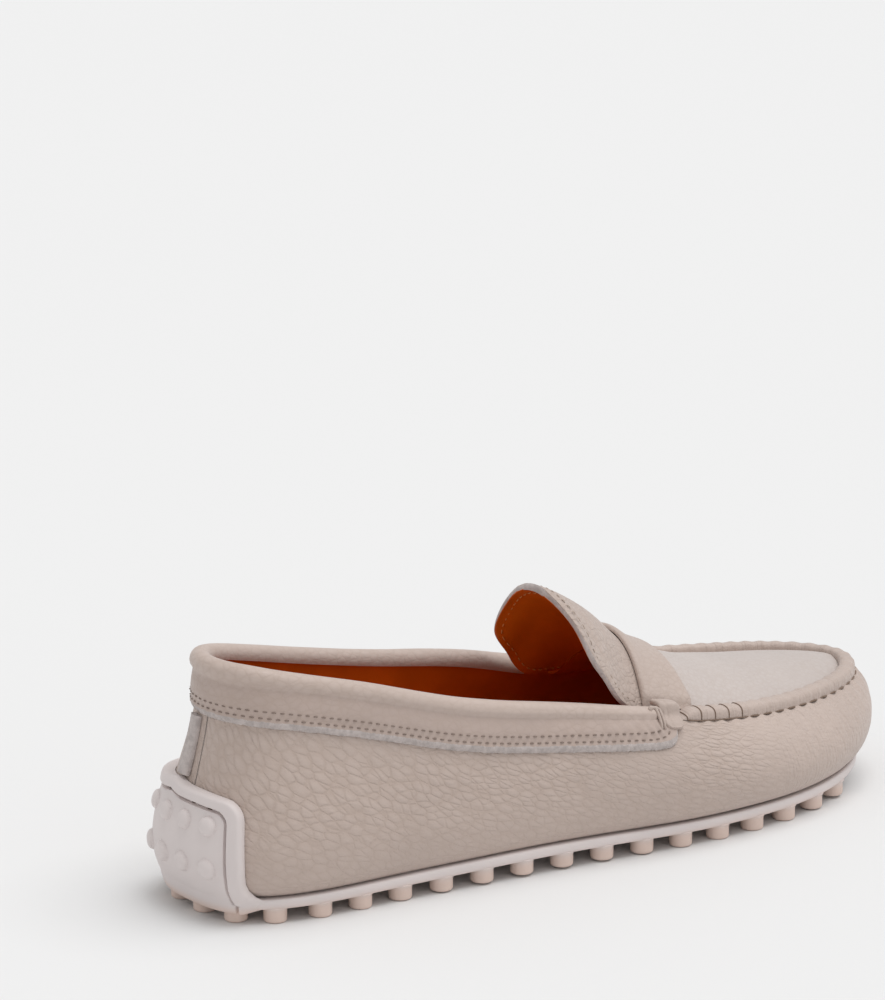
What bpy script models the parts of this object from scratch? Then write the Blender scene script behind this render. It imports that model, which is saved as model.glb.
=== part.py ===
# Driving moccasin, right shoe, as an assembly of separate pieces.
# Metres, +Z up, +Y towards the toe, +X towards the outer side of the foot.
# The origin is at the bottom centre of the whole shoe's box.
import bisect
import math

import bmesh
import bpy
import numpy as np
from mathutils import Vector

MM = 0.001

# Driving dimensions of the last
LENGTH = 0.291
BALL_WIDTH = 0.097
BACK_HEIGHT = 0.0863
INSTEP_HEIGHT = 0.0660
TOE_HEIGHT = 0.0350

# Leather
WALL = 2.2 * MM
MARGIN_UNDER_FOOT = 12.0 * MM
FOOT_RADIUS = 2.6 * MM
CLEARANCE = 0.3 * MM
RIDGE_HEIGHT = 3.6 * MM
RIDGE_WIDTH = 4.6 * MM
RIDGE_RAMP = 9.0 * MM
SEAM_STEP = 0.55 * MM
FOOT_TURN = 0.035
FOOT_TURN_INSIDE = 0.075
WALL_ROW_POWER = 0.9

# Rubber sole
STUD_HEIGHT = 5.0 * MM
STUD_RADIUS = 3.9 * MM
STUD_ROUND = 0.9 * MM
EDGE_STUDS = 40
STUD_START = -14.0 * MM
STUD_INSET = 4.2 * MM
TOE_PLAIN = 40.0 * MM
STUD_ROW_STEP = 15.0 * MM
STUD_ROW_INSET = 18.0 * MM
STUD_SINK = 1.5 * MM
STUD_SIDES = 8
SHEET = 3.4 * MM
SHEET_LIP = 1.3 * MM
SHEET_ROUND = 0.75 * MM
ARCH_RISE = 0.8 * MM
ARCH_MIDDLE = 0.42
ARCH_REACH = 0.24
TOE_SPRING = 3.6 * MM
SPRING_START = 0.74

# Heel tab of the sole
HEEL_TURN = -8.5 * MM
TAB_PEAK = 0.0437
TAB_TOP = 0.0425
TAB_CORNER = 0.0405
TAB_HALF_ARC = 31.6 * MM
TAB_PEAK_REACH = 0.22
TAB_GAP = 0.5 * MM
TAB_RIM = 5.0 * MM
TAB_RIM_THICK = 3.6 * MM
TAB_PLATE_THICK = 2.3 * MM
DOME_RADIUS = 3.0 * MM
DOME_RISE = 1.5 * MM
DOME_SPACING = 10.5 * MM
DOMES_PER_ROW = 5
DOME_HEIGHTS = (0.0190, 0.0320)

# Collar band with its padded roll
ROLL_RISE = 4.4 * MM
ROLL_OUT = 1.4 * MM
ROLL_IN = 1.6 * MM
BAND_THICK = 1.5 * MM
BAND_DEPTH = 15.0 * MM
BAND_FRONT_DEPTH = 11.0 * MM

# Tongue, strap, strap ends, back strip and insole
TONGUE_THICK = 2.4 * MM
TONGUE_REACH = 0.97
TONGUE_ROWS = 9
STRAP_THICK = 1.8 * MM
STRAP_BACK = 6.5 * MM
STRAP_FRONT = 8.5 * MM
STRAP_REACH = 0.93
STRAP_WIDEN = 0.25
WRAP_WIDTH = 8.2 * MM
WRAP_SHIFT = 4.5 * MM
WRAP_THICK = 2.0 * MM
WRAP_DROP = 4.8 * MM
STRIP_WIDTH = 7.6 * MM
STRIP_THICK = 1.9 * MM
STRIP_END_CLEAR = 0.012
STRIP_EDGE_THINNING = 0.35
INSOLE_THICK = 1.6 * MM
INSOLE_CLEAR = 0.6 * MM

# Sections round the foot, from the heel back along the outer side to the toe and back along the inner side.
# side and top_side are shares of BALL_WIDTH, along and top_along of LENGTH. The wall's top is a share of
# BACK_HEIGHT round the collar and of TOE_HEIGHT along the apron seam. swell and lean push the wall out,
# as shares of BALL_WIDTH, and rise and drop say at which share of the wall's height they do it.
SECTION_COLUMNS = ("name", "side", "along", "top_side", "top_along", "back_share", "toe_share",
                   "swell", "rise", "lean", "drop")
SECTIONS = (
    ("heel_back", 0.000, 0.030, 0.000, 0.055, 0.930, 0.00, 0.110, 0.24, 0.000, 0.46),
    ("back_corner", 0.205, 0.045, 0.130, 0.068, 0.928, 0.00, 0.110, 0.24, 0.010, 0.46),
    ("heel_side", 0.310, 0.117, 0.208, 0.114, 0.893, 0.00, 0.095, 0.26, 0.035, 0.40),
    ("heel_front", 0.330, 0.207, 0.252, 0.207, 0.810, 0.00, 0.075, 0.30, 0.045, 0.38),
    ("waist", 0.358, 0.327, 0.292, 0.327, 0.690, 0.00, 0.065, 0.34, 0.045, 0.36),
    ("middle", 0.392, 0.467, 0.325, 0.467, 0.594, 0.00, 0.070, 0.36, 0.060, 0.32),
    ("strap", 0.440, 0.627, 0.352, 0.622, 0.490, 0.00, 0.085, 0.36, 0.100, 0.22),
    ("little_toe", 0.428, 0.747, 0.320, 0.742, 0.000, 1.06, 0.090, 0.34, 0.110, 0.20),
    ("toe_corner", 0.325, 0.868, 0.235, 0.866, 0.000, 1.00, 0.095, 0.30, 0.105, 0.22),
    ("toe_side", 0.160, 0.937, 0.110, 0.947, 0.000, 1.00, 0.095, 0.28, 0.090, 0.24),
    ("toe_tip", -0.060, 0.966, -0.075, 0.979, 0.000, 1.02, 0.085, 0.28, 0.085, 0.24),
    ("big_toe_corner", -0.270, 0.937, -0.265, 0.942, 0.000, 1.02, 0.085, 0.28, 0.085, 0.24),
    ("big_toe", -0.430, 0.843, -0.375, 0.852, 0.000, 1.06, 0.085, 0.32, 0.085, 0.22),
    ("inner_ball", -0.492, 0.722, -0.405, 0.722, 0.000, 1.16, 0.080, 0.34, 0.090, 0.22),
    ("inner_strap", -0.470, 0.612, -0.385, 0.612, 0.508, 0.00, 0.070, 0.36, 0.080, 0.24),
    ("inner_middle", -0.402, 0.493, -0.340, 0.487, 0.615, 0.00, 0.060, 0.36, 0.055, 0.32),
    ("arch", -0.345, 0.367, -0.300, 0.363, 0.700, 0.00, 0.060, 0.36, 0.040, 0.36),
    ("inner_heel", -0.318, 0.233, -0.255, 0.230, 0.800, 0.00, 0.070, 0.30, 0.040, 0.38),
    ("inner_heel_side", -0.303, 0.120, -0.208, 0.117, 0.893, 0.00, 0.090, 0.26, 0.035, 0.40),
    ("inner_back_corner", -0.205, 0.045, -0.130, 0.068, 0.928, 0.00, 0.110, 0.24, 0.010, 0.46),
)

# The apron's rise above its seam and its forward bow, from the throat at 0 to the toe tip at 1.
# rise is a share of INSTEP_HEIGHT and bow of LENGTH.
CROWN_COLUMNS = ("place", "rise", "bow")
CROWN = (
    (0.00, 0.262, 0.014),
    (0.14, 0.192, 0.015),
    (0.30, 0.130, 0.012),
    (0.50, 0.090, 0.008),
    (0.75, 0.060, 0.004),
    (1.00, 0.015, 0.000),
)

# The tongue behind the throat. back is how far each row's middle lies behind the throat and setback how far
# its sides lie behind that, as shares of LENGTH. top, outer and inner are the heights of the row's middle and
# of its two sides as shares of INSTEP_HEIGHT. outer_half and inner_half are its widths to each side of the
# middle as shares of BALL_WIDTH.
TONGUE_COLUMNS = ("back", "top", "outer_half", "outer", "inner_half", "inner", "setback")
TONGUE = (
    (0.016, 0.975, 0.314, 0.655, 0.318, 0.675, 0.016),
    (0.042, 1.080, 0.304, 0.690, 0.304, 0.675, 0.016),
    (0.062, 1.150, 0.312, 0.760, 0.297, 0.705, 0.015),
    (0.080, 1.205, 0.320, 0.850, 0.291, 0.780, 0.012),
    (0.102, 1.265, 0.305, 0.970, 0.277, 0.890, 0.006),
    (0.120, 1.305, 0.265, 1.120, 0.235, 1.085, 0.003),
    (0.127, 1.318, 0.172, 1.238, 0.150, 1.230, 0.001),
)

# Mesh counts
REAR_COLUMNS = 21
FRONT_COLUMNS = 15
WALL_ROWS = 6
APRON_ACROSS = 10
TAB_COLUMNS = 8
TAB_ROWS = 5
STRAP_ROWS = 4


# Smooth curves through the tables

def solve_moments(knots, values, period):
    """Second derivatives of the cubic spline through the values, closed when a period is given."""
    count = len(knots)
    matrix = np.zeros((count, count))
    right = np.zeros((count, values.shape[1]))
    for i in range(count):
        if period is None and i in (0, count - 1):
            matrix[i, i] = 1.0
            continue
        before = (i - 1) % count
        after = (i + 1) % count
        step_before = (knots[i] - knots[before]) % period if period else knots[i] - knots[before]
        step_after = (knots[after] - knots[i]) % period if period else knots[after] - knots[i]
        matrix[i, before] += step_before / 6
        matrix[i, i] += (step_before + step_after) / 3
        matrix[i, after] += step_after / 6
        right[i] = (values[after] - values[i]) / step_after - (values[i] - values[before]) / step_before
    return np.linalg.solve(matrix, right)


class Curve:
    """A cubic spline through rows of values at given knots."""

    def __init__(self, knots, values, period=None):
        self.knots = list(knots)
        self.values = np.array(values, float)
        self.period = period
        self.moments = solve_moments(self.knots, self.values, period)

    def __call__(self, place):
        count = len(self.knots)
        if self.period:
            place = place % self.period
            low = bisect.bisect_right(self.knots, place) - 1
            high = (low + 1) % count
            step = (self.knots[high] - self.knots[low]) % self.period
        else:
            place = min(max(place, self.knots[0]), self.knots[-1])
            low = min(bisect.bisect_right(self.knots, place) - 1, count - 2)
            high = low + 1
            step = self.knots[high] - self.knots[low]
        b = (place - self.knots[low]) / step
        a = 1 - b
        bend = ((a ** 3 - a) * self.moments[low] + (b ** 3 - b) * self.moments[high]) * step ** 2 / 6
        return a * self.values[low] + b * self.values[high] + bend


def named(columns, rows):
    """Rows of a table as dictionaries by column name."""
    return [dict(zip(columns, row)) for row in rows]


def section_sizes(value):
    """A section's foot point, top point and wall handles in metres."""
    top = value["back_share"] * BACK_HEIGHT + value["toe_share"] * TOE_HEIGHT
    return (value["side"] * BALL_WIDTH, value["along"] * LENGTH,
            value["top_side"] * BALL_WIDTH, value["top_along"] * LENGTH, top,
            value["swell"] * BALL_WIDTH, value["rise"], value["lean"] * BALL_WIDTH, value["drop"])


SECTION_ROWS = named(SECTION_COLUMNS, SECTIONS)
SIZES = [section_sizes(value) for value in SECTION_ROWS]


def chord_knots(rows):
    """Distance round the foot line at each section, and the whole way round."""
    knots = [0.0]
    for one, two in zip(rows, rows[1:] + rows[:1]):
        knots.append(knots[-1] + math.dist(one[:2], two[:2]))
    return knots[:-1], knots[-1]


KNOTS, ROUND = chord_knots(SIZES)
LAST = Curve(KNOTS, SIZES, ROUND)
AT = dict(zip([value["name"] for value in SECTION_ROWS], KNOTS))
OUTER_STRAP = AT["strap"]
TIP = AT["toe_tip"]
INNER_STRAP = AT["inner_strap"]


# The sole's levels

def sheet_bottom(along):
    """Height of the rubber sheet's lower face: flat at heel and ball, a little up at waist and toe."""
    share = along / LENGTH
    waist = max(0.0, 1 - ((share - ARCH_MIDDLE) / ARCH_REACH) ** 2)
    spring = max(0.0, (share - SPRING_START) / (1 - SPRING_START))
    return STUD_HEIGHT + ARCH_RISE * waist ** 2 + TOE_SPRING * spring ** 2


def sheet_top(along):
    return sheet_bottom(along) + SHEET


def foot_level(along):
    """Height of the leather's underside."""
    return sheet_top(along) + CLEARANCE


# The wall of the upper

def outward(place):
    """Level direction away from the foot, square to the foot line."""
    step = 0.5 * MM
    ahead = LAST(place + step)
    behind = LAST(place - step)
    run = Vector((ahead[0] - behind[0], ahead[1] - behind[1], 0.0)).normalized()
    return Vector((run.y, -run.x, 0.0))


def wall_base(place, share):
    """Point on the outer face of the wall at a share of its height, before any offset."""
    side, along, top_side, top_along, top, swell, rise, lean, drop = LAST(place)
    out = outward(place)
    low = foot_level(along)
    height = top - low
    foot = Vector((side, along, low))
    head = Vector((top_side, top_along, top))
    first = foot + out * swell + Vector((0, 0, rise * height))
    second = head + out * lean - Vector((0, 0, drop * height))
    a = 1 - share
    return foot * a ** 3 + first * 3 * a * a * share + second * 3 * a * share * share + head * share ** 3


def wall_normal(place, share):
    step = 0.4 * MM
    low = max(share - 0.02, 0.0)
    high = min(share + 0.02, 1.0)
    round_step = wall_base(place + step, share) - wall_base(place - step, share)
    up_step = wall_base(place, high) - wall_base(place, low)
    return round_step.cross(up_step).normalized()


def wall(place, share, lift=0.0):
    """Point on the wall lifted off its outer face by a distance, inwards when it is negative."""
    return wall_base(place, share) + wall_normal(place, share) * lift


def share_below_top(place, distance):
    """Share of the wall's height that lies a distance below its top, measured along the wall."""
    length = (wall_base(place, 1.0) - wall_base(place, 0.75)).length / 0.25
    return 1.0 - distance / length


def share_at_height(place, height):
    """Share of the wall that stands at a height above the floor."""
    low = 0.0
    high = 1.0
    for _ in range(24):
        middle = (low + high) / 2
        if wall_base(place, middle).z < height:
            low = middle
        else:
            high = middle
    return (low + high) / 2


# The apron, the tongue and what lies on them

CROWN_ROWS = named(CROWN_COLUMNS, CROWN)
CROWN_CURVE = Curve([value["place"] for value in CROWN_ROWS],
                    [(value["rise"] * INSTEP_HEIGHT, value["bow"] * LENGTH) for value in CROWN_ROWS])


def ridge_share(place):
    """How much of the raised seam's height stands at a place, from 0 at the strap to 1 in front."""
    from_strap = min(abs(place - OUTER_STRAP), abs(INNER_STRAP - place))
    part = min(max(from_strap / RIDGE_RAMP, 0.0), 1.0)
    return part * part * (3 - 2 * part)


def seam_inward(place):
    """Level direction from the seam towards the middle of the apron."""
    step = 1.0 * MM
    run = wall_base(place + step, 1.0) - wall_base(place - step, 1.0)
    return Vector((-run.y, run.x, 0.0)).normalized()


def seam_inner(place):
    """Point on the apron's edge, inside the raised seam."""
    return wall_base(place, 1.0) + seam_inward(place) * RIDGE_WIDTH + Vector((0, 0, SEAM_STEP))


def front_places(part):
    """The outer and inner places of the seam at a share of the way from the strap to the toe tip."""
    outer = OUTER_STRAP + (TIP - OUTER_STRAP) * part
    inner = INNER_STRAP + (TIP - INNER_STRAP) * part
    return outer, inner


def arch(outer, inner, across, rise, bow):
    """Point on a crowned row between two side points, at across from -1 outside to 1 inside."""
    share = (across + 1) / 2
    crown = 1 - across * across
    return outer.lerp(inner, share) + Vector((0, bow * crown, rise * crown))


def throat_row(across):
    rise, bow = CROWN_CURVE(0.0)
    return arch(seam_inner(OUTER_STRAP), seam_inner(INNER_STRAP), across, rise, bow)


def apron(across, part):
    """Point on the apron's face, part 0 at the throat and 1 at the toe tip."""
    rise, bow = CROWN_CURVE(part)
    outer, inner = front_places(part)
    return arch(seam_inner(outer), seam_inner(inner), across, rise, bow)


def tongue_rows():
    """Spline through the tongue's rows, each with its outer side, inner side, rise and bow."""
    rise, bow = CROWN_CURVE(0.0)
    outer = seam_inner(OUTER_STRAP)
    inner = seam_inner(INNER_STRAP)
    middle = throat_row(0.0)
    centre = (outer.x + inner.x) / 2
    rows = [(*outer, *inner, rise, bow)]
    knots = [0.0]
    for value in named(TONGUE_COLUMNS, TONGUE):
        back = value["back"] * LENGTH
        setback = value["setback"] * LENGTH
        outer_level = value["outer"] * INSTEP_HEIGHT
        inner_level = value["inner"] * INSTEP_HEIGHT
        along = middle.y - back - setback
        rows.append((centre + value["outer_half"] * BALL_WIDTH, along, outer_level,
                     centre - value["inner_half"] * BALL_WIDTH, along, inner_level,
                     value["top"] * INSTEP_HEIGHT - (outer_level + inner_level) / 2, setback))
        knots.append(back)
    return Curve(knots, rows)


TONGUE_CURVE = tongue_rows()
TONGUE_LENGTH = TONGUE_CURVE.knots[-1]


def tongue(across, back):
    """Point on the tongue's outer face, a distance behind the throat."""
    row = TONGUE_CURVE(back)
    return arch(Vector(row[0:3]), Vector(row[3:6]), across, row[6], row[7])


def bridge(across, forward):
    """Outer face across the instep: the apron in front of the throat and the tongue behind it."""
    if forward < 0:
        return tongue(across, -forward)
    return apron(across, forward / (TIP - OUTER_STRAP))


def surface_normal(face, across, along, step):
    """Upward normal of a face given by two numbers."""
    low = max(across - 0.01, -1.0)
    high = min(across + 0.01, 1.0)
    over = face(high, along) - face(low, along)
    forward = face(across, along + step) - face(across, along - step)
    normal = over.cross(forward).normalized()
    return normal if normal.z > 0 else -normal


def bridge_lifted(across, forward, lift):
    return bridge(across, forward) + surface_normal(bridge, across, forward, 1.0 * MM) * lift


# Meshes

PARTS = bpy.data.collections.new("driving_moccasin")
CUTTERS = bpy.data.collections.new("joining_forms")


def clear_scene():
    for thing in list(bpy.data.objects):
        bpy.data.objects.remove(thing, do_unlink=True)
    bpy.context.scene.collection.children.link(PARTS)
    bpy.context.scene.collection.children.link(CUTTERS)


def material(name, colour, roughness):
    """A Principled material with its colour and roughness."""
    made = bpy.data.materials.new(name)
    made.use_nodes = True
    shader = made.node_tree.nodes["Principled BSDF"]
    shader.inputs["Base Color"].default_value = (*colour, 1.0)
    shader.inputs["Roughness"].default_value = roughness
    shader.inputs["Metallic"].default_value = 0.0
    return made


def add_object(name, shape, finish, collection=None):
    """Turns a bmesh into an object with outward faces and smooth shading."""
    bmesh.ops.remove_doubles(shape, verts=shape.verts, dist=0.01 * MM)
    bmesh.ops.recalc_face_normals(shape, faces=shape.faces)
    mesh = bpy.data.meshes.new(name)
    shape.to_mesh(mesh)
    shape.free()
    mesh.shade_smooth()
    mesh.set_sharp_from_angle(angle=math.radians(50))
    made = bpy.data.objects.new(name, mesh)
    (collection or PARTS).objects.link(made)
    if finish:
        mesh.materials.append(finish)
    return made


def add_grid(shape, rows, closed=False):
    """Adds a grid of points and its faces; each row is a list of points, joined end to start if closed."""
    made = [[shape.verts.new(point) for point in row] for row in rows]
    count = len(made[0])
    for one, two in zip(made, made[1:]):
        for i in range(count if closed else count - 1):
            j = (i + 1) % count
            shape.faces.new((one[i], one[j], two[j], two[i]))
    return made


def add_slab(outer_rows, inner_rows):
    """A closed slab between an outer and an inner grid of points of the same size."""
    shape = bmesh.new()
    outer = add_grid(shape, outer_rows)
    inner = add_grid(shape, inner_rows)

    def border(grid):
        right = [row[-1] for row in grid[1:-1]]
        left = [row[0] for row in reversed(grid[1:-1])]
        return grid[0] + right + list(reversed(grid[-1])) + left

    rim_out = border(outer)
    rim_in = border(inner)
    for i in range(len(rim_out)):
        j = (i + 1) % len(rim_out)
        shape.faces.new((rim_out[i], rim_out[j], rim_in[j], rim_in[i]))
    return shape


def spaced(start, end, count):
    return [start + (end - start) * i / count for i in range(count + 1)]


def foot_columns():
    """Places round the foot: rear half from the inner strap round the heel, then the front in pairs."""
    outer_rear = spaced(0.0, OUTER_STRAP, REAR_COLUMNS)[:-1]
    outer_front = spaced(OUTER_STRAP, TIP, FRONT_COLUMNS)[:-1]
    inner_front = spaced(TIP, INNER_STRAP, FRONT_COLUMNS)[:-1]
    inner_rear = spaced(INNER_STRAP, ROUND, REAR_COLUMNS)[:-1]
    return outer_rear + outer_front + inner_front + inner_rear


COLUMNS = foot_columns()
FIRST_FRONT = REAR_COLUMNS
TIP_COLUMN = REAR_COLUMNS + FRONT_COLUMNS
LAST_FRONT = REAR_COLUMNS + 2 * FRONT_COLUMNS


def side_pairs():
    """Pairs of columns that face each other across the foot, from the heel to the toe."""
    total = len(COLUMNS)
    return [(i, (total - i) % total) for i in range(1, TIP_COLUMN)]


# Upper

def wall_shares():
    return [(i / WALL_ROWS) ** WALL_ROW_POWER for i in range(WALL_ROWS + 1)]


def under_foot(place, inset, height):
    """Point under the foot, a distance in from the foot line."""
    row = LAST(place)
    spot = Vector((row[0], row[1], 0.0)) - outward(place) * inset
    spot.z = foot_level(spot.y) + height
    return spot


def upper_column(place, lift, outer):
    """A column of the upper from its inner edge under the foot to its top edge."""
    points = []
    if outer:
        points.append(under_foot(place, MARGIN_UNDER_FOOT, 0.0))
        points.append(under_foot(place, FOOT_RADIUS, 0.0))
        points.append(wall(place, FOOT_TURN))
    else:
        points.append(under_foot(place, MARGIN_UNDER_FOOT, WALL))
        points.append(under_foot(place, FOOT_RADIUS + WALL, WALL))
        points.append(wall(place, FOOT_TURN_INSIDE, lift))
    for share in wall_shares()[1:]:
        points.append(wall(place, share, lift))
    return points


def ridge_points(place, outer):
    """The raised seam's crest and foot at a place, or the plain inner face below it."""
    base = wall_base(place, 1.0)
    end = seam_inner(place)
    if not outer:
        inward = seam_inward(place) * WALL * 0.7
        return [base.lerp(end, share) - Vector((0, 0, WALL)) + inward * (1 - share) for share in (0.3, 0.7)]
    lift = Vector((0, 0, RIDGE_HEIGHT * ridge_share(place)))
    out = seam_inward(place) * -0.1 * RIDGE_WIDTH
    return [base + out + lift * 0.55, base.lerp(end, 0.28) + lift, base.lerp(end, 0.72) + lift]


def apron_rows(lift, lowered):
    """Rows of the apron between its two seam edges, without the edges."""
    rows = []
    for i in range(FRONT_COLUMNS):
        part = i / FRONT_COLUMNS
        row = []
        for k in range(1, APRON_ACROSS):
            across = -1 + 2 * k / APRON_ACROSS
            point = apron(across, part)
            if lowered:
                point = point - surface_normal(apron, across, max(part, 0.02), 0.01) * lift
            row.append(point)
        rows.append(row)
    return rows


def upper_sheet(shape, outer):
    """One face of the upper: the wall all round, the seam and the apron. Returns its open border."""
    lift = 0.0 if outer else -WALL
    columns = [upper_column(place, lift, outer) for place in COLUMNS]
    total = len(columns)
    made = [[shape.verts.new(point) for point in column] for column in columns]
    for i in range(total):
        one = made[i]
        two = made[(i + 1) % total]
        for low in range(len(one) - 1):
            shape.faces.new((one[low], two[low], two[low + 1], one[low + 1]))
    edge = {}
    for i in range(FIRST_FRONT, LAST_FRONT + 1):
        place = COLUMNS[i]
        inner_edge = seam_inner(place)
        if not outer:
            inner_edge = inner_edge - Vector((0, 0, WALL))
        seam = ridge_points(place, outer) + [inner_edge]
        edge[i] = [made[i][-1]] + [shape.verts.new(point) for point in seam]
    for i in range(FIRST_FRONT, LAST_FRONT):
        one = edge[i]
        two = edge[i + 1]
        for low in range(len(one) - 1):
            shape.faces.new((one[low], two[low], two[low + 1], one[low + 1]))
    rows = []
    for i, row in enumerate(apron_rows(WALL, not outer)):
        outer_edge = edge[FIRST_FRONT + i][-1]
        inner_edge = edge[LAST_FRONT - i][-1]
        rows.append([outer_edge] + [shape.verts.new(point) for point in row] + [inner_edge])
    for one, two in zip(rows, rows[1:]):
        for k in range(APRON_ACROSS):
            shape.faces.new((one[k], one[k + 1], two[k + 1], two[k]))
    tip = edge[TIP_COLUMN][-1]
    for k in range(APRON_ACROSS):
        shape.faces.new((rows[-1][k], rows[-1][k + 1], tip))
    under = [column[0] for column in made]
    collar = [made[i % total][-1] for i in range(LAST_FRONT, total + FIRST_FRONT + 1)]
    throat = edge[FIRST_FRONT][1:] + rows[0][1:-1] + list(reversed(edge[LAST_FRONT][1:]))
    return under, collar, throat


def close_border(shape, one, two):
    """Joins two borders that run side by side and may differ in how many points they have."""
    i = 0
    j = 0
    while i < len(one) - 1 or j < len(two) - 1:
        left = (i + 1) / (len(one) - 1) if i < len(one) - 1 else 2.0
        right = (j + 1) / (len(two) - 1) if j < len(two) - 1 else 2.0
        if abs(left - right) < 1e-6:
            shape.faces.new((one[i], one[i + 1], two[j + 1], two[j]))
            i += 1
            j += 1
        elif left < right:
            shape.faces.new((one[i], one[i + 1], two[j]))
            i += 1
        else:
            shape.faces.new((one[i], two[j + 1], two[j]))
            j += 1


def make_upper(finish):
    shape = bmesh.new()
    under_out, collar_out, throat_out = upper_sheet(shape, True)
    under_in, collar_in, throat_in = upper_sheet(shape, False)
    close_border(shape, under_out + under_out[:1], under_in + under_in[:1])
    close_border(shape, collar_out, collar_in)
    ends = (collar_out[-1], collar_in[-1]), (collar_out[0], collar_in[0])
    close_border(shape, [ends[0][0]] + throat_out + [ends[1][0]], [ends[0][1]] + throat_in + [ends[1][1]])
    return add_object("upper", shape, finish)


# Outsole

def sheet_edge(place, lift):
    """Point on the rubber sheet's outline, outside the foot line."""
    row = LAST(place)
    spot = Vector((row[0], row[1], 0.0)) + outward(place) * lift
    return spot


def make_sheet():
    """The rubber sheet under the whole foot, with a softly rounded edge."""
    shape = bmesh.new()
    soft = SHEET_ROUND / SHEET
    rings = []
    for lift, part in ((-SHEET_ROUND, 1.0), (0.0, 1.0 - soft), (0.0, soft), (-SHEET_ROUND, 0.0)):
        ring = []
        for place in COLUMNS:
            spot = sheet_edge(place, SHEET_LIP + lift)
            spot.z = sheet_bottom(spot.y) + SHEET * part
            ring.append(spot)
        rings.append(ring)
    made = add_grid(shape, rings, closed=True)
    for ring in (made[0], made[-1]):
        pairs = side_pairs()
        shape.faces.new((ring[0], ring[pairs[0][0]], ring[pairs[0][1]]))
        for one, two in zip(pairs, pairs[1:]):
            shape.faces.new((ring[one[0]], ring[two[0]], ring[two[1]], ring[one[1]]))
        shape.faces.new((ring[pairs[-1][0]], ring[TIP_COLUMN], ring[pairs[-1][1]]))
    return add_object("outsole", shape, None)


def inside(spot, outline):
    """Whether a spot lies inside a closed outline."""
    crossings = 0
    for one, two in zip(outline, outline[1:] + outline[:1]):
        if (one.y > spot.y) != (two.y > spot.y):
            side = one.x + (spot.y - one.y) / (two.y - one.y) * (two.x - one.x)
            crossings += side > spot.x
    return crossings % 2 == 1


def stud_places():
    """Centres of the studs: one row round the edge, but not at the toe, and rows across the middle."""
    places = []
    for i in range(EDGE_STUDS):
        place = STUD_START + ROUND * i / EDGE_STUDS
        if abs(place - TIP) > TOE_PLAIN:
            places.append(sheet_edge(place, SHEET_LIP - STUD_INSET))
    limit = [sheet_edge(ROUND * i / 360, SHEET_LIP - STUD_ROW_INSET) for i in range(360)]
    rows = round(LENGTH / STUD_ROW_STEP)
    for row in range(rows):
        along = (row + 0.5) * LENGTH / rows
        widest = round(BALL_WIDTH / STUD_ROW_STEP)
        for k in range(-widest, widest + 1):
            spot = Vector(((k + 0.5 * (row % 2)) * STUD_ROW_STEP, along, 0.0))
            if inside(spot, limit):
                places.append(spot)
    return places


def add_stud(shape, spot):
    """A round stud standing on the floor, its foot edge rounded and its head sunk in the sheet."""
    foot = sheet_bottom(spot.y) - STUD_HEIGHT
    turns = [math.tau * i / STUD_SIDES for i in range(STUD_SIDES)]
    rings = []
    for radius, height in ((STUD_RADIUS - STUD_ROUND, foot), (STUD_RADIUS, foot + STUD_ROUND),
                           (STUD_RADIUS, foot + STUD_HEIGHT + STUD_SINK)):
        ring = []
        for turn in turns:
            ring.append(Vector((spot.x + radius * math.cos(turn), spot.y + radius * math.sin(turn), height)))
        rings.append(ring)
    made = add_grid(shape, rings, closed=True)
    shape.faces.new(made[0])
    shape.faces.new(made[-1])


def make_studs():
    shape = bmesh.new()
    for spot in stud_places():
        add_stud(shape, spot)
    return add_object("studs", shape, None, CUTTERS)


# Heel tab

def tab_top(arc):
    """Height of the tab's top edge at a distance round from the heel's middle."""
    part = min(abs(arc) / TAB_HALF_ARC, 1.0)
    peak = (TAB_PEAK - TAB_TOP) * max(0.0, 1 - part / TAB_PEAK_REACH) ** 1.5
    corner = (TAB_TOP - TAB_CORNER) * part ** 3
    return TAB_TOP + peak - corner


def tab_point(arc, height, lift):
    place = (HEEL_TURN + arc) % ROUND
    return wall(place, share_at_height(place, height), lift)


def tab_grid(lift_plate, lift_rim):
    """Rows of the tab from the sheet up to its top edge; the rim stands higher than the plate."""
    arcs = [-TAB_HALF_ARC, -TAB_HALF_ARC + TAB_RIM * 0.85, -TAB_HALF_ARC + TAB_RIM]
    arcs += spaced(-TAB_HALF_ARC + TAB_RIM, TAB_HALF_ARC - TAB_RIM, TAB_COLUMNS)[1:-1]
    arcs += [TAB_HALF_ARC - TAB_RIM, TAB_HALF_ARC - TAB_RIM * 0.85, TAB_HALF_ARC]
    start = sheet_top(0.0) - 0.5 * SHEET
    rows = []
    for level in range(TAB_ROWS + 3):
        row = []
        for arc in arcs:
            top = tab_top(arc)
            plate_top = top - TAB_RIM
            in_rim = abs(arc) > TAB_HALF_ARC - 0.95 * TAB_RIM
            if level <= TAB_ROWS:
                height = start + (plate_top - start) * level / TAB_ROWS
            elif level == TAB_ROWS + 1:
                height = plate_top + 0.15 * TAB_RIM
            else:
                height = top
            lift = lift_rim if in_rim or level > TAB_ROWS else lift_plate
            row.append(tab_point(arc, height, lift))
        rows.append(row)
    return rows


def make_tab():
    outer = tab_grid(TAB_GAP + TAB_PLATE_THICK, TAB_GAP + TAB_RIM_THICK)
    inner = tab_grid(TAB_GAP, TAB_GAP)
    return add_object("tab", add_slab(outer, inner), None, CUTTERS)


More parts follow.
